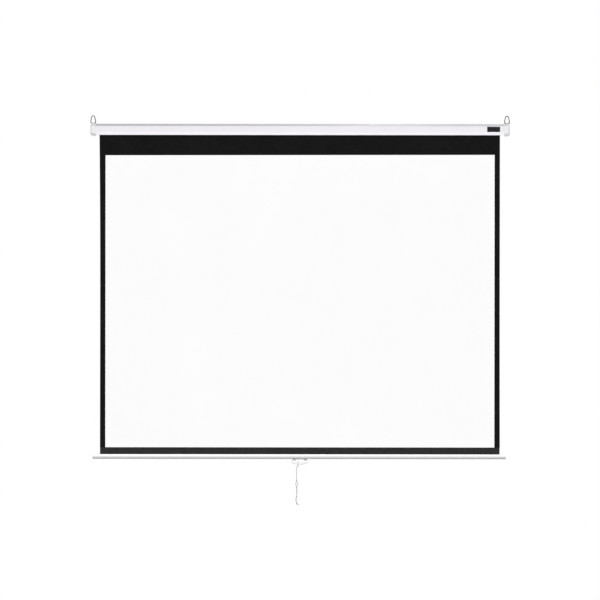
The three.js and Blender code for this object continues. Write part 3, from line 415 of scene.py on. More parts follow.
# %% Mix the white finishes
case_enamel = new_finish("case_enamel", (0.85, 0.835, 0.88), 0.42, Coat_Weight=0.15)
drift_colour(case_enamel, (0.84, 0.825, 0.87), (0.86, 0.845, 0.89), noise_field(case_enamel, 0.22))
drift_roughness(case_enamel, 0.38, 0.48, noise_field(case_enamel, 0.05))
raise_grain(case_enamel, noise_field(case_enamel, 0.0022), 0.25, 0.00004)

bar_enamel = new_finish("bar_enamel", (0.9, 0.895, 0.9), 0.4, Coat_Weight=0.15)
drift_colour(bar_enamel, (0.89, 0.885, 0.89), (0.91, 0.905, 0.91), noise_field(bar_enamel, 0.18))
drift_roughness(bar_enamel, 0.36, 0.46, noise_field(bar_enamel, 0.04))
raise_grain(bar_enamel, noise_field(bar_enamel, 0.0022), 0.25, 0.00004)

cap_plastic = new_finish("cap_plastic", (0.82, 0.815, 0.825), 0.55)
drift_colour(cap_plastic, (0.805, 0.8, 0.81), (0.835, 0.83, 0.84), noise_field(cap_plastic, 0.03))
drift_roughness(cap_plastic, 0.5, 0.62, noise_field(cap_plastic, 0.012))
raise_grain(cap_plastic, noise_field(cap_plastic, 0.0007, detail=5), 0.4, 0.00005)

handle_plastic = new_finish("handle_plastic", grey(0.95), 0.34)
drift_colour(handle_plastic, grey(0.94), grey(0.96), noise_field(handle_plastic, 0.02))
drift_roughness(handle_plastic, 0.3, 0.4, noise_field(handle_plastic, 0.008))
raise_grain(handle_plastic, noise_field(handle_plastic, 0.001), 0.15, 0.00003)

nylon = new_finish("nylon", (0.78, 0.76, 0.7), 0.55, Subsurface_Weight=0.08)
drift_colour(nylon, (0.76, 0.74, 0.68), (0.8, 0.78, 0.72), noise_field(nylon, 0.01))
drift_roughness(nylon, 0.5, 0.6, noise_field(nylon, 0.004))
raise_grain(nylon, noise_field(nylon, 0.0008), 0.2, 0.00004)
print("white finishes mixed")

# %% [markdown]
# ### Steels and the black plate
#
# Zinc plating and the drawn wire of the rings are metals: all their colour is in what they mirror,
# so a drawn-out noise in the roughness is what shows how they were made.

# %% Mix the metals
def new_metal(name, tone, roughness, drawn_along):
    """A metal with fine streaks along the axis in which it was rolled or drawn."""
    metal = new_finish(name, tone, roughness, metallic=1.0)
    darker = tuple(0.88 * part for part in tone)
    drift_colour(metal, darker, tone, noise_field(metal, 0.012))
    streaks = noise_field(metal, 0.0009, stretch=drawn_along, detail=4)
    drift_roughness(metal, roughness - 0.06, roughness + 0.1, streaks)
    raise_grain(metal, streaks, 0.2, 0.00003)
    return metal


zinc_steel = new_metal("zinc_steel", (0.62, 0.63, 0.65), 0.36, (14, 1, 1))
dark_steel = new_metal("dark_steel", (0.5, 0.5, 0.505), 0.42, (10, 1, 1))
ring_wire = new_metal("ring_wire", (0.014, 0.014, 0.015), 0.5, (1, 1, 8))

plate_black = new_finish("plate_black", grey(0.006), 0.4, Specular_IOR_Level=0.2)
drift_colour(plate_black, grey(0.004), grey(0.008), noise_field(plate_black, 0.01))
drift_roughness(plate_black, 0.34, 0.48, noise_field(plate_black, 0.003, stretch=(6, 1, 1)))
raise_grain(plate_black, noise_field(plate_black, 0.0008), 0.1, 0.00002)
print("metals mixed")

# %% [markdown]
# ### The screen cloth and the cord
#
# The sheet is coated woven glass and vinyl. Its white is as matt as it can be made, because it has
# to send the picture to every seat alike, and it has a fine even grain. The black of the borders
# and of the back shows the weave under the coat. Two sets of waves that cross give the weave: each
# thread is about 0.6 mm wide.

# %% Mix the cloth finishes
THREAD = 0.0006


def weave_height(material):
    """The height of a plain weave: two sets of waves, one across the other."""
    tree = material.node_tree
    where = tree.nodes.new("ShaderNodeTexCoord")
    bands = []
    for direction in ("X", "Z"):
        wave = tree.nodes.new("ShaderNodeTexWave")
        wave.bands_direction = direction
        wave.inputs["Scale"].default_value = math.pi / 10 / (2 * THREAD)
        wave.inputs["Distortion"].default_value = 0.4
        wave.inputs["Detail Scale"].default_value = 2
        tree.links.new(where.outputs["Object"], wave.inputs["Vector"])
        bands.append(wave.outputs["Fac"])
    crossed = tree.nodes.new("ShaderNodeMath")
    crossed.operation = "MULTIPLY"
    tree.links.new(bands[0], crossed.inputs[0])
    tree.links.new(bands[1], crossed.inputs[1])
    return crossed.outputs[0]


screen_white = new_finish("screen_white", (0.965, 0.965, 0.968), 0.95, Specular_IOR_Level=0.2)
drift_colour(screen_white, (0.96, 0.96, 0.964), (0.97, 0.97, 0.972),
             noise_field(screen_white, 0.35))
raise_grain(screen_white, noise_field(screen_white, 0.0005, detail=5), 0.15, 0.00004)

screen_black = new_finish("screen_black", grey(0.0055, 0.0003), 0.82, Specular_IOR_Level=0.07)
drift_colour(screen_black, grey(0.0045), grey(0.0065, 0.0004), noise_field(screen_black, 0.12))
drift_roughness(screen_black, 0.76, 0.9, noise_field(screen_black, 0.02))
raise_grain(screen_black, weave_height(screen_black), 0.3, 0.00008)

border_black = new_finish("border_black", grey(0.015), 0.7, Specular_IOR_Level=0.14)
drift_colour(border_black, grey(0.013), grey(0.017), noise_field(border_black, 0.08))
drift_roughness(border_black, 0.64, 0.78, noise_field(border_black, 0.015))
raise_grain(border_black, weave_height(border_black), 0.4, 0.0001)

cord_cotton = new_finish("cord_cotton", (0.84, 0.84, 0.83), 0.9)
drift_colour(cord_cotton, (0.79, 0.79, 0.78), (0.89, 0.89, 0.88), noise_field(cord_cotton, 0.004))
raise_grain(cord_cotton, noise_field(cord_cotton, 0.00025, stretch=(1, 1, 5), detail=4), 0.5, 0.0001)
print("cloth finishes mixed")

# %% [markdown]
# ## Shaping helpers
#
# Most of this object is bent sheet: a line in section, thickened to both sides and carried along
# the screen's length. The rest is turned, or is a tube that follows a line. So a few helpers are
# enough. The first two make a mesh from points and faces, and hang it on its body.

# %% Make pieces and hang them
def add_piece(name, points, faces, finish, smooth_below=32):
    """A mesh from points in millimetres, its normals turned outwards, smooth but for its edges."""
    mesh = bpy.data.meshes.new(name)
    mesh.from_pydata([Vector(p) * MM for p in points], [], faces)
    work = bmesh.new()
    work.from_mesh(mesh)
    bmesh.ops.recalc_face_normals(work, faces=work.faces)
    work.to_mesh(mesh)
    work.free()
    mesh.shade_smooth()
    mesh.set_sharp_from_angle(angle=math.radians(smooth_below))
    mesh.materials.append(finish)
    piece = bpy.data.objects.new(name, mesh)
    scene.collection.objects.link(piece)
    return piece


def hang(piece, body, slot, *stands_for):
    """Hangs a piece on its CAD body and names the CAD nodes whose look it takes over."""
    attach(piece, body)
    if stands_for:
        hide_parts(*stands_for)
    print(piece.name, "rides on", body, "with", len(piece.data.polygons), "faces")
    return piece


print("pieces can be made and hung")

# %% [markdown]
# A skin joins rings of points, one ring to the next. Carried along the screen's length it gives a
# rolled section, and turned round a line it gives a pin or a button.

# %% Draw skins over rings
def skin(rings, closed_ends=True, loop=False):
    """Points and faces of a skin through rings that all have the same number of points."""
    count = len(rings[0])
    points = [p for ring in rings for p in ring]
    faces = []
    for a in range(len(rings) if loop else len(rings) - 1):
        here, there = a * count, (a + 1) % len(rings) * count
        for k in range(count):
            n = (k + 1) % count
            faces.append([here + k, here + n, there + n, there + k])
    if closed_ends and not loop:
        faces.append(list(range(count))[::-1])
        faces.append(list(range((len(rings) - 1) * count, len(rings) * count)))
    return points, faces


def gather(*parts):
    """Several (points, faces) pairs as one."""
    points, faces = [], []
    for more_points, more_faces in parts:
        start = len(points)
        points += more_points
        faces += [[start + i for i in face] for face in more_faces]
    return points, faces


def along_x(section, stations):
    """A section [(y, z), ...] carried along the screen's length."""
    return skin([[(x, y, z) for y, z in section] for x in stations])


def turned_x(profile, y, z, sides):
    """A closed profile [(radius, x), ...] turned round a line along X."""
    angles = [2 * math.pi * k / sides for k in range(sides)]
    rings = [[(x, y + r * math.cos(a), z + r * math.sin(a)) for r, x in profile] for a in angles]
    return skin(rings, loop=True)


print("skins can be drawn")

# %% [markdown]
# A section starts as a few corners. An arc rounds each of them, and a bent sheet then gets its
# thickness to both sides of the line. A tube's rings follow a line and turn as little as they can,
# so that the tube isn't wrung.

# %% Draw sections and tubes
def rounded(corners, closed=True, steps=8):
    """Corners [(y, z, radius), ...] turned into points, each corner rounded by an arc."""
    points = []
    for i, (y, z, *rest) in enumerate(corners):
        here = Vector((y, z))
        if not rest or (not closed and i in (0, len(corners) - 1)):
            points.append(tuple(here))
            continue
        back = (Vector(corners[i - 1][:2]) - here).normalized()
        on = (Vector(corners[(i + 1) % len(corners)][:2]) - here).normalized()
        half = back.angle(on) / 2
        centre = here + (back + on).normalized() * rest[0] / math.sin(half)
        start = here + back * rest[0] / math.tan(half) - centre
        end = here + on * rest[0] / math.tan(half) - centre
        turn = math.atan2(start.x * end.y - start.y * end.x, start.dot(end))
        for k in range(steps + 1):
            c, s = math.cos(turn * k / steps), math.sin(turn * k / steps)
            points.append((centre.x + c * start.x - s * start.y, centre.y + s * start.x + c * start.y))
    return points


def thickened(line, thickness):
    """The outline of a bent sheet, from the line along the middle of its thickness."""
    line = [Vector(p) for p in line]
    left, right = [], []
    for i, point in enumerate(line):
        into = (point - line[max(i - 1, 0)]).normalized()
        out_of = (line[min(i + 1, len(line) - 1)] - point).normalized()
        along = (into + out_of).normalized()
        cosine = max(along.dot(out_of if i == 0 else into), 0.5)
        normal = Vector((-along.y, along.x)) * (thickness / 2 / cosine)
        left.append(tuple(point + normal))
        right.append(tuple(point - normal))
    return left + right[::-1]


def tube_rings(line, radius, sides):
    """Rings round a line, each turned as little as possible from the one before it."""
    line = [Vector(p) for p in line]
    rings = []
    side = None
    for i, point in enumerate(line):
        ahead = (line[min(i + 1, len(line) - 1)] - line[max(i - 1, 0)]).normalized()
        if side is None:
            side = ahead.orthogonal().normalized()
        side = (side - ahead * side.dot(ahead)).normalized()
        up = ahead.cross(side)
        rings.append([
            tuple(point + radius * (math.cos(a) * side + math.sin(a) * up))
            for a in (2 * math.pi * k / sides for k in range(sides))
        ])
    return rings


print("sections and tubes can be drawn")

# %% [markdown]
# ## The case
#
# The case is one strip of sheet steel, roll-formed into an eight-sided box that is open below. Its
# two long edges turn up into lips, so that the cloth never rubs on a raw edge. The corners of such
# a section are soft, about 3 mm, and that is what catches the light along the bevels.

# %% Form the case
HALF_CASE = 29
CASE_DEPTH = 64
BEVEL = 11.5
CASE_END = 1065
SHEET_STEEL = 1.2
LIP = 5.5
SLOT_REAR, SLOT_FRONT = -8, -24.8
LIP_BEND, BACK_BEND, BEVEL_BEND = 1.2, 4, 3
CASE_RINGS = (-CASE_END, -350, 350, CASE_END)

half_wall = SHEET_STEEL / 2
slant = half_wall * (math.sqrt(2) - 1)
ceiling = HALF_CASE - half_wall
shoulder_y = -CASE_DEPTH + BEVEL + slant
cheek_z = HALF_CASE - BEVEL - slant
case_line = rounded(
    [
        (SLOT_REAR, -HALF_CASE + LIP),
        (SLOT_REAR, -ceiling, LIP_BEND),
        (-half_wall, -ceiling, BACK_BEND),
        (-half_wall, ceiling, BACK_BEND),
        (shoulder_y, ceiling, BEVEL_BEND),
        (-CASE_DEPTH + half_wall, cheek_z, BEVEL_BEND),
        (-CASE_DEPTH + half_wall, -cheek_z, BEVEL_BEND),
        (shoulder_y, -ceiling, BEVEL_BEND),
        (SLOT_FRONT, -ceiling, LIP_BEND),
        (SLOT_FRONT, -HALF_CASE + LIP),
    ],
    closed=False,
)
case_section = thickened(case_line, SHEET_STEEL)
case = add_piece("case", *along_x(case_section, CASE_RINGS), case_enamel)
hang(case, "housing", "case_enamel", "case_shell")

# %% [markdown]
# ## End caps
#
# A moulded cap closes each end. It stands a little proud of the case all round, its outer face
# closes in a soft dome, and its back stays flat on the wall. Inside it is hollow. The shell is one
# skin: over the outside, round the open edge and back along the inside.

# %% Shape a cap's shell
CAP_TOP, CAP_BOTTOM = 30, -34
CAP_FRONT = -66.4
CAP_INNER, CAP_OUTER = 1065.3, 1091.5
DOME = 12
DOME_TURN = math.radians(84)
DOME_STEPS = 9
DOME_INSET = 0.8
INNER_REACH = 0.78
CAP_WALL = 2.6
CAP_EDGE = 0.8

cap_outline = rounded(
    [
        (0, CAP_BOTTOM + 4, 3), (0, CAP_TOP, 5), (-53.5, CAP_TOP, 4), (CAP_FRONT, 17.5, 4),
        (CAP_FRONT, -20.5, 5), (-52.5, CAP_BOTTOM, 6), (-8, CAP_BOTTOM, 6),
    ],
    steps=6,
)


def cap_ring(x, inset, back=0.0):
    """The cap's outline at x, drawn in at the front, top and bottom, and apart from that behind."""
    middle = (CAP_TOP + CAP_BOTTOM) / 2
    depth = 1 + (inset + back) / CAP_FRONT
    height = 1 - 2 * inset / (CAP_TOP - CAP_BOTTOM)
    return [(x, y * depth - back, middle + (z - middle) * height) for y, z in cap_outline]


def cap_body():
    """The domed shell: a skin over the outside, round the open edge and back along the inside."""
    dome_x = CAP_OUTER - DOME
    outside = [cap_ring(CAP_INNER, CAP_EDGE), cap_ring(CAP_INNER + CAP_EDGE, 0), cap_ring(dome_x, 0)]
    inside = [cap_ring(CAP_INNER, CAP_WALL, CAP_WALL), cap_ring(dome_x, CAP_WALL, CAP_WALL)]
    for step in range(1, DOME_STEPS + 1):
        angle = DOME_TURN * step / DOME_STEPS
        inset = DOME * DOME_INSET * (1 - math.cos(angle))
        reach = DOME * math.sin(angle) / math.sin(DOME_TURN)
        outside.append(cap_ring(dome_x + reach, inset))
        if step % 3 == 0:
            inside.append(cap_ring(dome_x + reach * INNER_REACH, inset + CAP_WALL, CAP_WALL))
    return skin(outside[::-1] + inside)


print("points on a cap's outline:", len(cap_outline))

# %% [markdown]
# A thinner rim reaches from the cap into the case and keeps the two in line. On top an ear holds
# the hanger ring. It is round above, about the line on which the ring turns.

# %% Shape its rim and its ear
PLUG = 6
RIM_PLAY, RIM_INSIDE = 0.3, 2.5
EAR_Y, EAR_X = -14, 1078.5
EAR_HALF, EAR_RADIUS = 4.2, 4.2
EAR_NARROWED, EAR_LOWERED = 0.86, 0.7
RING_PIVOT = 33.4


def case_hollow(margin):
    """The room inside the case's section, drawn in by a margin."""
    off = SHEET_STEEL + margin
    cut = off * (math.sqrt(2) - 1)
    top = HALF_CASE - off
    shoulder = -CASE_DEPTH + BEVEL + cut
    cheek = HALF_CASE - BEVEL - cut
    return rounded(
        [
            (-off, -top, 3), (-off, top, 3), (shoulder, top, 2.5), (-CASE_DEPTH + off, cheek, 2.5),
            (-CASE_DEPTH + off, -cheek, 2.5), (shoulder, -top, 2.5),
        ],
        steps=5,
    )


def cap_rim():
    """The rim that reaches into the case, as a skin that runs out, over and back in."""
    start, end = CAP_INNER - PLUG, CAP_INNER + 2
    outer, inner = case_hollow(RIM_PLAY), case_hollow(RIM_INSIDE)
    route = ((outer, start), (outer, end), (inner, end), (inner, start))
    return skin([[(x, y, z) for y, z in line] for line, x in route], loop=True)


def cap_ear(steps=16):
    """The ear on top that holds the ring: round above, with its two sides a little rounded off."""
    arc = [(EAR_Y + EAR_RADIUS * math.cos(a), RING_PIVOT + EAR_RADIUS * math.sin(a))
           for a in (math.pi * k / steps for k in range(steps + 1))]
    section = [(EAR_Y + EAR_RADIUS, CAP_TOP - 2), *arc, (EAR_Y - EAR_RADIUS, CAP_TOP - 2)]
    inset = [(EAR_Y + (y - EAR_Y) * EAR_NARROWED, z - EAR_LOWERED) for y, z in section]
    outer = EAR_X + EAR_HALF
    inner = EAR_X - EAR_HALF
    rings = [
        (inset, inner), (section, inner + CAP_EDGE), (section, outer - CAP_EDGE), (inset, outer),
    ]
    return skin([[(x, y, z) for y, z in line] for line, x in rings])


print("the rim reaches", PLUG, "mm into the case")

# %% [markdown]
# Two recesses in the outer face take the screws. A boolean cuts them, because a skin has no way to
# go round a hole. The left cap is the right one's mirror image.

# %% Mould both caps
SCREWS = [(-17, 17.5), (-50, -18)]
SCREW_SEAT = 1086
POCKET_RADIUS = 4.1
AXIS = 0.01


def mirrored(points, side):
    """The points as they are for side 1, and their mirror image for side -1."""
    return [(side * x, y, z) for x, y, z in points]


def keep_modified(piece):
    """Turns what a piece's modifiers make of it into its plain mesh."""
    bpy.context.view_layer.update()
    view = bpy.context.evaluated_depsgraph_get()
    result = bpy.data.meshes.new_from_object(piece.evaluated_get(view))
    piece.modifiers.clear()
    piece.data = result


def carve(piece, cutter):
    """Cuts one mesh out of another."""
    modifier = piece.modifiers.new("carve", "BOOLEAN")
    modifier.operation = "DIFFERENCE"
    modifier.solver = "EXACT"
    modifier.object = cutter
    keep_modified(piece)
    bpy.data.objects.remove(cutter)


def join(piece, other):
    """Makes two meshes one object, under the first one's name."""
    with bpy.context.temp_override(active_object=piece, selected_editable_objects=[piece, other]):
        bpy.ops.object.join()


SIDES = ((1, "right"), (-1, "left"))
caps = []
pocket_end = CAP_OUTER + 3
pocket = [
    (AXIS, SCREW_SEAT), (POCKET_RADIUS, SCREW_SEAT), (POCKET_RADIUS, pocket_end), (AXIS, pocket_end),
]
for side, name in SIDES:
    points, faces = cap_body()
    cap = add_piece(f"end_cap_{name}_moulding", mirrored(points, side), faces, cap_plastic)
    for y, z in SCREWS:
        points, faces = turned_x(pocket, y, z, 24)
        carve(cap, add_piece("pocket", mirrored(points, side), faces, cap_plastic))
    points, faces = gather(cap_rim(), cap_ear())
    join(cap, add_piece("trim", mirrored(points, side), faces, cap_plastic))
    cap.data.set_sharp_from_angle(angle=math.radians(32))
    caps.append(hang(cap, "housing", "cap_plastic", f"end_cap_{name}"))

# %% [markdown]
# ## Hanger rings
#
# Each ring is one piece of thick wire. It starts inside the cap's ear, comes out, turns up, and
# closes in a narrow arch. A tube along a smooth line is all it needs, as long as the line has
# enough points in the tight turns at its feet.

# %% Bend the hanger rings
WIRE = 4.1
WIRE_SIDES = 16
WIRE_STEP = 0.8
half_ring = [
    (1.2, 0), (7.5, 0), (10.4, 0.2), (12, 2), (12.6, 5.4), (12.2, 10.9), (11, 17.4), (9.5, 23.9),
    (7.9, 29.9), (6, 34.4), (3.2, 36.7),
]
ring_route = [*half_ring, (0, 37.2), *((-x, z) for x, z in reversed(half_ring))]
for side, name in SIDES:
    line = smooth_line(
        [(side * EAR_X + x, EAR_Y, RING_PIVOT + z) for x, z in ring_route], WIRE_STEP)
    ring = add_piece(f"hanger_wire_{name}", *skin(tube_rings(line, WIRE / 2, WIRE_SIDES)), ring_wire)
    hang(ring, f"ring_{name}", "ring_wire", f"hanger_ring_{name}")

# %% [markdown]
# ## The plate on the case
#
# A small black plate sits at the right end of the front. It is left bare. A thin raised edge and a
# softly sunk field keep it from looking like a painted rectangle.

# %% Make the plate
PLATE_X, PLATE_Z = 1007.8, 0.9
PLATE_HALF = (33.5, 13.3)
PLATE_CORNER = 1.6
PLATE_EDGE = 0.35
PLATE_RIM, PLATE_FIELD = 1.1, 1.5
PLATE_SUNK = 0.3
plate_back = -CASE_DEPTH - 0.3
plate_front = plate_back - 1.3


def plate_ring(y, inset):
    """The plate's rounded outline at one depth, drawn in by an inset."""
    w, h = PLATE_HALF[0] - inset, PLATE_HALF[1] - inset
    corner = max(PLATE_CORNER - inset, 0.5)
    outline = rounded([(-w, -h, corner), (w, -h, corner), (w, h, corner), (-w, h, corner)], steps=5)
    return [(PLATE_X + x, y, PLATE_Z + z) for x, z in outline]


plate = add_piece("bare_plate", *skin([
    plate_ring(plate_back, 0), plate_ring(plate_front + PLATE_EDGE, 0),
    plate_ring(plate_front, PLATE_EDGE), plate_ring(plate_front, PLATE_RIM),
    plate_ring(plate_front + PLATE_SUNK, PLATE_FIELD),
]), plate_black)
hang(plate, "housing", "plate_black", "name_plate")

# %% [markdown]
# ## The sheet
#
# The sheet hangs from the rear of the roller straight down to the bar. It is black on the back and
# along its borders, and the white picture area is a coat on the front. One closed mesh does it: a
# grid of points in front, the same grid behind, and a rim between them. Grid lines lie exactly on
# the edges of the white area, so each face of the grid is wholly white or wholly black, and the
# picture stays in its place when the sheet runs up.
#
# The grid is finer across the borders than in the white.

# %% Lay out the sheet's grid
HALF_WIDE = 1041.5
VIEW_HALF = 1014
VIEW_TOP = -132.5
VIEW_BOTTOM = -1656.5
SHEET_TOP = -0.3
SPLIT = VIEW_BOTTOM - 0.3


def spread(start, end, about):
    """Even steps from start to end, each about as long as asked, without the last point."""
    count = max(1, round(abs(end - start) / about))
    return [start + (end - start) * k / count for k in range(count)]


sheet_x = [
    *spread(-HALF_WIDE, -VIEW_HALF, 6), *spread(-VIEW_HALF, VIEW_HALF, 25),
    *spread(VIEW_HALF, HALF_WIDE, 6), HALF_WIDE,
]
sheet_z = [
    *spread(SHEET_TOP, VIEW_TOP, 20), *spread(VIEW_TOP, VIEW_BOTTOM, 25), VIEW_BOTTOM, SPLIT,
]
across, down = len(sheet_x), len(sheet_z)
print("grid points across and down:", across, down)

# %% [markdown]
# A real sheet this size is never dead flat. It gets waves of about a millimetre, and its two free
# edges curl back a little, less near the roller and the bar that hold it straight. All of it goes
# backwards from the sheet's own plane, so the sheet stays off the roll when it runs up. In the
# photograph its left edge runs out by four millimetres towards the top, and the right one by one
# millimetre towards the bar, so the two columns of points that make the edges follow that. The edge
# between the black drop and the white isn't quite level there either: it rises by four millimetres
# from left to right, as a print does that went on a little askew.

# %% Let it hang as cloth does
SHEET_THICK = 0.36
WAVE = 0.8
WAVE_ACROSS, WAVE_DOWN = 420, 620
CURL, CURL_FROM, CURL_WIDE = 2.2, 960, 80
FREE_BELOW, FREE_OVER, BAR_HOLDS = 60, 260, 200
TOP_RUN, BAR_RUN, BAR_RUN_BELOW = 850, 560, 1100
LEFT_AT_TOP, LEFT_AT_BAR = 4.6, 0.4
RIGHT_AT_TOP, RIGHT_AT_BAR = 0.5, 1
TILT, TILT_DROP = 0.0019, 0.5


def sheet_bow(x, z):
    """How far the sheet stands behind its own plane at a point, in millimetres."""
    free = min(1.0, max(0.0, (-z - FREE_BELOW) / FREE_OVER), max(0.0, (z - SPLIT) / BAR_HOLDS))
    wave = WAVE + WAVE * noise.noise(Vector((x / WAVE_ACROSS, 0.0, z / WAVE_DOWN)))
    edge = max(0.0, (abs(x) - CURL_FROM) / CURL_WIDE)
    return free * (wave + CURL * edge * edge)


def edge_shift(x, z):
    """How far the borders' points move across, all of it at the sheet's edge, none at the white."""
    share = max(0.0, (abs(x) - VIEW_HALF) / (HALF_WIDE - VIEW_HALF))
    from_top = max(0.0, 1 + z / TOP_RUN)
    from_bar = max(0.0, (-z - BAR_RUN_BELOW) / BAR_RUN)
    if x > 0:
        return share * (RIGHT_AT_BAR * from_bar + RIGHT_AT_TOP * from_top)
    return share * (-LEFT_AT_TOP * from_top ** 2 - LEFT_AT_BAR * from_bar)


def edge_tilt(x, z):
    """How far points near the top of the white area move down on the left and up on the right."""
    near = max(0.0, 1 - abs(z - VIEW_TOP) / (SHEET_TOP - VIEW_TOP))
    return near * (TILT * x - TILT_DROP)


def sheet_layer(offset):
    """All the grid's points on one of the sheet's two faces."""
    return [(x + edge_shift(x, z), SHEET_Y + offset + sheet_bow(x, z), z + edge_tilt(x, z))
            for z in sheet_z for x in sheet_x]


sheet_points = sheet_layer(-SHEET_THICK / 2) + sheet_layer(SHEET_THICK / 2)
bows = [round(y - SHEET_Y, 1) for _, y, _ in sheet_layer(0)]
print("the sheet bows back by up to", max(bows), "mm")

# %% [markdown]
# The faces join the points. Those whose middle lies in the picture area get the white coat. When
# the screen runs up, less and less of the sheet hangs out. A mesh can't wind itself on a roller, so
# the frame squashes it towards its upper end instead, until a few millimetres are left.

# %% Join the grid into a sheet
layer = across * down
sheet_faces, white_faces = [], set()
for row in range(down - 1):
    for column in range(across - 1):
        a = row * across + column
        x = (sheet_x[column] + sheet_x[column + 1]) / 2
        z = (sheet_z[row] + sheet_z[row + 1]) / 2
        if abs(x) < VIEW_HALF and VIEW_BOTTOM < z < VIEW_TOP:
            white_faces.add(len(sheet_faces))
        sheet_faces.append([a, a + 1, a + 1 + across, a + across])
front_count = len(sheet_faces)
sheet_faces += [[layer + i for i in face[::-1]] for face in sheet_faces[:front_count]]
rim = [*range(across), *range(2 * across - 1, layer, across),
       *range(layer - 2, layer - across - 1, -1), *range(layer - 2 * across, 0, -across)]
for a, b in zip(rim, rim[1:] + rim[:1]):
    sheet_faces.append([a, b, layer + b, layer + a])

sheet = add_piece("screen_sheet", sheet_points, sheet_faces, screen_black)
sheet.data.materials.append(screen_white)
for face in white_faces:
    sheet.data.polygons[face].material_index = 1
hang(sheet, "housing", "screen_black", "masked_fabric", "picture_area")
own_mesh(sheet)
print("white faces:", len(white_faces), "of", front_count, "in front")

# %% [markdown]
# The sheet goes on at both ends. Above, one and a quarter turns stay on the roller even when the
# screen is fully down, so that the pull never comes on the glue. Where they leave the sheet they
# draw in a little, and so they clear it while the roller turns.

# %% Leave the turns on the roller
ROLLER_Y = -36.5
SAFETY_TURNS = 1.25
PITCH = SHEET_THICK + 0.3
DRAWN_IN = 0.22
DRAWN_IN_BY = math.radians(60)
TURN_STEPS = 120
FULL_TURN = 2 * math.pi
outer_radius = SHEET_Y - ROLLER_Y
turns = []
for k in range(TURN_STEPS + 1):
    gone = k / TURN_STEPS * SAFETY_TURNS
    angle = gone * FULL_TURN
    radius = outer_radius - gone * PITCH
    if angle < FULL_TURN:
        radius -= DRAWN_IN * min(1, angle / DRAWN_IN_BY, (FULL_TURN - angle) / DRAWN_IN_BY)
    turns.append((ROLLER_Y + radius * math.cos(angle), radius * math.sin(angle)))
sheet_rings = (-HALF_WIDE, 0, HALF_WIDE)
wound = add_piece("turns_on_roller", *along_x(thickened(turns, SHEET_THICK), sheet_rings), screen_black)
hang(wound, "roller", "screen_black", "wound_fabric")

# %% [markdown]
# Below, the last strip runs into the bar through its slot, and its hem closes round a rod that
# can't slip out again. Its black is a little lighter than the masking's, and its weave a little coarser.

# %% Close the hem
HEM_Z = -1703
HEM_ROD = 4
HEM_STEPS = 36
HEM_START, HEM_TURN = math.radians(130), math.radians(280)
loop_radius = HEM_ROD + 0.3 + SHEET_THICK / 2
hem_line = [(SHEET_Y, SPLIT), (SHEET_Y, HEM_Z + 24), (SHEET_Y, HEM_Z + 6.8)]
for k in range(HEM_STEPS + 1):
    angle = HEM_START + HEM_TURN * k / HEM_STEPS
    hem_line.append((SHEET_Y + loop_radius * math.cos(angle), HEM_Z + loop_radius * math.sin(angle)))
hem_line.append((SHEET_Y + 0.95, HEM_Z + 5.6))
hem = add_piece(
    "lower_strip_and_hem", *along_x(thickened(hem_line, SHEET_THICK), sheet_rings), border_black,
)
hang(hem, "weight_bar", "screen_black", "lower_border")

# %% [markdown]
# ## The weight bar
#
# The bar is a second roll-formed section, nearly round, with a slot on top for the sheet. Its rear
# edge stands a little higher than the front one, which shows as a thin bright line above the front.

# %% Roll the weight bar
BAR_RADIUS, BAR_WALL = 15, 1.2
BAR_Y, BAR_Z = -18, -1702.5
BAR_SHIFT = -3.3
BAR_END = 1074
BAR_SHOULDER = -1692.8
BAR_STEPS = 80
SLOT_HALF = 1.7

bar_middle = BAR_RADIUS - BAR_WALL / 2
shoulder_z = BAR_SHOULDER - BAR_WALL / 2
rear_angle = math.acos((SHEET_Y + SLOT_HALF - BAR_Y) / bar_middle)
front_angle = -math.pi - math.asin((shoulder_z - BAR_Z) / bar_middle)
bar_line = [(SHEET_Y + SLOT_HALF, BAR_SHOULDER - 1.5)]
for k in range(BAR_STEPS + 1):
    angle = rear_angle + (front_angle - rear_angle) * k / BAR_STEPS
    bar_line.append((BAR_Y + bar_middle * math.cos(angle), BAR_Z + bar_middle * math.sin(angle)))
bar_line += [(SHEET_Y - SLOT_HALF, shoulder_z), (SHEET_Y - SLOT_HALF, shoulder_z - 2)]
bar_rings = [BAR_SHIFT + x for x in (-BAR_END, -400, 400, BAR_END)]
bar = add_piece("bar_tube", *along_x(thickened(bar_line, BAR_WALL), bar_rings), bar_enamel)
hang(bar, "weight_bar", "bar_enamel", "bottom_bar")

# %% [markdown]
# A moulded button closes each end. It is turned as one profile, and the part that goes into the
# bar is then made flat on top, below the turned-in edges of the slot.

# %% Close its ends
BUTTON_FLAT = HEM_Z + 4
inner, outer = BAR_END + 0.3, BAR_END + 2.8
button = [
    (AXIS, BAR_END - 12), (12, BAR_END - 12), (13, BAR_END - 11), (13, inner), (BAR_RADIUS, inner),
    (BAR_RADIUS, outer - 1.3), (14.8, outer - 0.7), (14.3, outer - 0.3), (13.6, outer), (AXIS, outer),
]
points, faces = turned_x(button, BAR_Y, BAR_Z, 56)
below_slot = [(x, y, min(z, BUTTON_FLAT)) if x < inner else (x, y, z) for x, y, z in points]
for side, name in SIDES:
    placed = [(BAR_SHIFT + side * x, y, z) for x, y, z in below_slot]
    end_button = add_piece(f"bar_button_{name}", placed, faces, bar_enamel)
    hang(end_button, "weight_bar", "bar_enamel", f"bar_cap_{name}")

# %% [markdown]
# ## The handle and its bracket
#
# A steel plate under the bar is rolled into two eyes, and the handle's moulded pins turn in them.
# The plate is a skin between two rounded outlines, and each eye is a short turned tube.

# %% Make the handle bracket
PIVOT_Z = -1722.3
BRACKET_TOP = BAR_Z - BAR_RADIUS - 0.3
BRACKET_THICK = 1.2
BRACKET_HALF = (37, 7.5)
BRACKET_CORNER = 3
EYE_INNER, EYE_OUTER = 20.4, 36.8
EYE_RADIUS, EYE_BORE = 3.2, 2.0
EYE_EDGE = 0.2


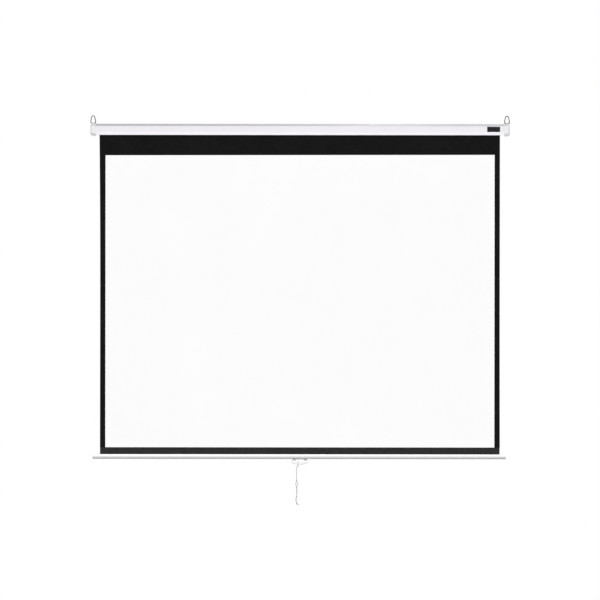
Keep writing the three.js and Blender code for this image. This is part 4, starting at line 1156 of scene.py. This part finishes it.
def bracket_parts():
    """The plate, its two eyes, and under each end of it the neck that joins an eye to it."""
    w, h = BRACKET_HALF
    corners = [(-w, -h), (w, -h), (w, h), (-w, h)]
    outline = rounded([(*corner, BRACKET_CORNER) for corner in corners], steps=6)
    levels = (BRACKET_TOP, BRACKET_TOP - BRACKET_THICK)
    parts = [skin([[(x, BAR_Y + y, z) for x, y in outline] for z in levels])]
    for side in (-1, 1):
        a, b = sorted((side * EYE_INNER, side * EYE_OUTER))
        eye = [
            (EYE_BORE, a), (EYE_RADIUS - EYE_EDGE, a), (EYE_RADIUS, a + EYE_EDGE),
            (EYE_RADIUS, b - EYE_EDGE), (EYE_RADIUS - EYE_EDGE, b), (EYE_BORE, b),
        ]
        parts.append(turned_x(eye, BAR_Y, PIVOT_Z, 32))
        neck = [
            (BAR_Y - 3.1, PIVOT_Z + 0.8), (BAR_Y + 3.1, PIVOT_Z + 0.8),
            (BAR_Y + 2.4, BRACKET_TOP - 1), (BAR_Y - 2.4, BRACKET_TOP - 1),
        ]
        parts.append(along_x(neck, (a, b)))
    return gather(*parts)


bracket = add_piece("bracket_plate", *bracket_parts(), dark_steel)
hang(bracket, "weight_bar", "dark_steel", "handle_bracket")

# %% [markdown]
# The handle is a flat boat-shaped bail. Its outline is drawn as curves: the right half first, and
# the left half is its mirror image.

# %% Draw the handle's outline
HANDLE_HALF = 43.5
HANDLE_BOTTOM = -1747.5
GRIP_INNER = EYE_OUTER + 0.5
GRIP_TOP = PIVOT_Z - 8.6


def bend(a, corner, b, steps=8):
    """A curve from a to b that is drawn towards the corner between them."""
    a, corner, b = Vector(a), Vector(corner), Vector(b)
    return [tuple((1 - t) ** 2 * a + 2 * t * (1 - t) * corner + t * t * b)
            for t in (k / steps for k in range(1, steps + 1))]


def handle_outline():
    """The right half from the pin down to the middle of the grip and back along its inner side."""
    h, g, p = HANDLE_HALF, GRIP_INNER, PIVOT_Z
    right = [(g, p - 4.2), (g, p + 3), (h - 2.5, p + 3)]
    right += bend((h - 2.5, p + 3), (h, p + 2), (h, p - 1))
    right += bend((h, p - 1), (h + 0.6, p - 5), (h + 0.8, p - 8), 3)
    right += bend((h + 0.8, p - 8), (h + 1.2, p - 12.4), (h - 3, p - 16.4))
    right += bend((h - 3, p - 16.4), (h - 5, p - 17.6), (h - 9, p - 18.2), 5)
    right += bend((h - 9, p - 18.2), (18, HANDLE_BOTTOM), (0, HANDLE_BOTTOM), 14)
    inner = bend((0, GRIP_TOP), (18, GRIP_TOP), (g - 3, p - 6), 12)
    inner += bend((g - 3, p - 6), (g - 0.5, p - 6), (g, p - 4.2), 5)[:-1]
    left = [(-x, z) for x, z in reversed(right[:-1])]
    return right + left + [(-x, z) for x, z in reversed(inner)] + [(0, GRIP_TOP)] + inner


flat = handle_outline()
print("points on the handle's outline:", len(flat))

# %% [markdown]
# The outline gets the handle's thickness, and a bevel rounds every edge that a hand would touch.
# Two pins, moulded with the handle, go into the bracket's eyes.

# %% Mould the handle
HANDLE_THICK = 9
HANDLE_EDGE = 1.9


def soften(piece, width, segments):
    """Bevels the sharp edges of a piece."""
    modifier = piece.modifiers.new("soften", "BEVEL")
    modifier.width = width * MM
    modifier.segments = segments
    modifier.limit_method = "ANGLE"
    modifier.angle_limit = math.radians(50)
    modifier.use_clamp_overlap = True
    keep_modified(piece)
    piece.data.shade_smooth()
    piece.data.set_sharp_from_angle(angle=math.radians(40))


handle = add_piece(
    "pull_handle_bail",
    *skin([[(x, BAR_Y + y, z) for x, z in flat] for y in (-HANDLE_THICK / 2, HANDLE_THICK / 2)]),
    handle_plastic,
)
soften(handle, HANDLE_EDGE, 4)
pin_radius = EYE_BORE - 0.3
pin_start, pin_end = EYE_INNER + 2, GRIP_INNER + 3
pins = gather(*(
    turned_x([(AXIS, a), (pin_radius, a), (pin_radius, b), (AXIS, b)], BAR_Y, PIVOT_Z, 24)
    for a, b in ((pin_start, pin_end), (-pin_end, -pin_start))
))
join(handle, add_piece("pins", *pins, handle_plastic))
hang(handle, "pull_handle", "handle_plastic", "handle_bail")

# %% [markdown]
# ## The cord
#
# The cord is three cotton strands twisted together. Each strand is a thin tube whose line winds
# round the cord's own line, once every 11 mm. A knot is a few tight wraps of the same cord round
# the strands that it binds, so the same helper makes the knots.

# %% Twist the cord
STRANDS = 3
LAY_LENGTH = 11
STRAND_RADIUS = CORD / 2 * 0.5
STRAND_ORBIT = CORD / 2 - STRAND_RADIUS
STRAND_CREASE = 60
WRAP_STEPS = 26


def twisted(line, sides=7):
    """Points and faces of a twisted cord along a line of evenly spaced points."""
    line = [Vector(p) for p in line]
    frames = tube_rings(line, 1.0, 4)
    walked = 0.0
    paths = [[] for _ in range(STRANDS)]
    for i, point in enumerate(line):
        side, up = Vector(frames[i][0]) - point, Vector(frames[i][1]) - point
        for k, path in enumerate(paths):
            angle = 2 * math.pi * (walked / LAY_LENGTH + k / STRANDS)
            path.append(point + STRAND_ORBIT * (math.cos(angle) * side + math.sin(angle) * up))
        if i + 1 < len(line):
            walked += (line[i + 1] - point).length
    return gather(*(skin(tube_rings(path, STRAND_RADIUS, sides)) for path in paths))


def wraps(centre, reach, count, height, slope):
    """A line that winds round a knot's middle; reach is half its width and half its depth."""
    x, z = centre
    line = []
    steps = round(count * WRAP_STEPS)
    for k in range(steps + 1):
        share = k / steps
        angle = share * count * 2 * math.pi - math.pi / 2
        tilt = slope * math.cos(angle)
        line.append((
            x + reach[0] * math.cos(angle), CORD_Y + reach[1] * math.sin(angle),
            z + height * (0.5 - share) + tilt,
        ))
    return line


def add_cord(name, *lines):
    """One piece of twisted cord along one or more lines."""
    return add_piece(name, *gather(*(twisted(line) for line in lines)), cord_cotton, STRAND_CREASE)


strand = add_cord("pull_cord_strand", hanging_line)
hang(strand, "hanging_cord", "cord_white", "pull_cord")
spare = add_cord("pull_cord_spare_end", spare_line)
hang(spare, "hanging_cord", "cord_white", "cord_return")

# %% [markdown]
# Its upper end goes once over the handle's grip and back down, and is tied below. That loop and its
# knot turn with the handle, so they hang on the handle's body.

# %% Tie it round the grip
SHORT_STEP = 0.9
loop_off = CORD / 2 + 0.4
loop_half = HANDLE_THICK / 2 + loop_off
loop_top, loop_end = PIVOT_Z - 8.4 + loop_off, HANDLE_BOTTOM - 3.2


def grip_loop(x):
    """A loop over the grip, whose two ends run down into the tie knot, in front and behind."""
    half = [
        (loop_half - 2.2, loop_end - 1.6), (loop_half - 0.3, loop_end + 1.4),
        (loop_half, loop_end + 5), (loop_half, (loop_top + loop_end) / 2), (loop_half, loop_top - 3),
        (loop_half - 0.5, loop_top - 0.8), (loop_half - 2.6, loop_top),
    ]
    front = [(x, BAR_Y - off, z) for off, z in half]
    behind = [(x, BAR_Y + off, z) for off, z in reversed(half)]
    return smooth_line([*front, (x, BAR_Y, loop_top + 0.1), *behind], SHORT_STEP)


grip = add_cord("grip_loop", grip_loop(TIE_X))
hang(grip, "pull_handle", "cord_white", "cord_tie_loop")
tie_x, tie_z = TIE_KNOT
tie_core = [(tie_x + 0.6, CORD_Y, tie_z + 4.6), (tie_x, CORD_Y, tie_z), (tie_x - 2.2, CORD_Y, tie_z - 4.2)]
tie = add_cord(
    "tie_knot", wraps(TIE_KNOT, (2.8, 2.8), 2.2, 5.6, 0.5), smooth_line(tie_core, SHORT_STEP),
)
hang(tie, "pull_handle", "cord_white", "cord_tie_knot")

# %% [markdown]
# Three binding knots hold the two strands together, and a bulky one ends the cord, with a short
# loose tail that points to the right.

# %% Tie the other knots
knots = []
for name, height in (("upper", UPPER_KNOT), ("middle", MIDDLE_KNOT), ("lower", LOWER_KNOT)):
    knot = add_cord(f"binding_knot_{name}", wraps((CORD_X, height), (2.1, KNOT_REACH + 2), 1.6, 4.2, 0.7))
    knots.append(hang(knot, "hanging_cord", "cord_white", f"cord_knot_{name}"))

end_x, end_z = END_KNOT
end_core = [(end_x, CORD_Y, end_z + 5.6), (end_x, CORD_Y, end_z), (end_x + 0.3, CORD_Y, end_z - 3.6)]
tail = [
    (end_x + 1.5, CORD_Y, end_z - 3), (end_x + 4.5, CORD_Y, end_z - 4),
    (end_x + 8.5, CORD_Y - 0.6, end_z - 4.2), (end_x + 12, CORD_Y - 1, end_z - 5),
]
end_knot = add_cord(
    "end_knot", wraps((end_x, end_z + 0.3), (2.9, 2.8), 2.2, 5.6, 0.6),
    smooth_line(end_core, SHORT_STEP), smooth_line(tail, SHORT_STEP),
)
knots.append(hang(end_knot, "hanging_cord", "cord_white", "cord_end_knot"))

# %% [markdown]
# The two strands are cords, whose lengths are those of the routes above. The sheet is cloth, cut
# to the size that hangs between the roller and the bar's slot.


print("made two cord strands and one sheet")

# %% [markdown]
# ## The working parts
#
# The roller, its spindle, ratchet, pawls and spring are hidden in the case, and so are the plugs
# and brackets. They stay as the CAD made them, and only take the finish of what they are made of.

# %% Finish the CAD pieces that still show
finish_for_slot = {
    "zinc_steel": zinc_steel,
    "dark_steel": dark_steel,
    "nylon": nylon,
    "cap_plastic": cap_plastic,
    "bar_enamel": bar_enamel,
}
finished = []
for row in frame["record"]["subparts"]:
    node = nodes[row["node"]]
    if node.hide_render:
        continue
    node.data.materials.clear()
    node.data.materials.append(finish_for_slot[row["material_slot"]])
    finished.append(node.name)
print("CAD pieces that keep their shape:", ", ".join(sorted(finished)))

# %% [markdown]
# ## The floor
#
# A plain pale floor lies well below the screen, out of the camera's view from the front. It gives
# the other views something to stand over. It sends no light back up, since the photograph's
# undersides are in shade, and it lets the low sun on the case pass, so it blocks no lamp. The
# screen's own shadow still falls on it.

# %% Lay the floor
FLOOR_Z = -2750
FLOOR_Y = -600
FLOOR_HALF = 3200
floor_paint = new_finish("floor_paint", grey(0.86), 0.9, Specular_IOR_Level=0.1)
drift_colour(floor_paint, grey(0.85), grey(0.87), noise_field(floor_paint, 0.8))
floor = add_piece(
    "floor",
    [(x * FLOOR_HALF, y * FLOOR_HALF + FLOOR_Y, FLOOR_Z)
     for x, y in ((-1, -1), (1, -1), (1, 1), (-1, 1))],
    [[0, 1, 2, 3]],
    floor_paint,
)
floor.visible_diffuse = False
floor.visible_shadow = False
floor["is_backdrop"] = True
floor_group.objects.link(floor)
print("the floor lies", -FLOOR_Z, "mm below the case's middle")

# %% [markdown]
# All pieces are there now, so each goes into the collection of its lamp. What isn't cloth, case,
# cap or cord is lit as a hard piece. The loop over the grip and its knot belong to the handle's
# light.

# %% Share the lamps out
pieces_of = [
    (cloth_group, (sheet, wound, hem)),
    (case_group, (case, plate)),
    (cap_group, caps),
    (cord_group, (strand, spare, *knots)),
]
group_of = {piece: group for group, members in pieces_of for piece in members}
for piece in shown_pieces():
    group_of.get(piece, hard_group).objects.link(piece)
    all_group.objects.link(piece)
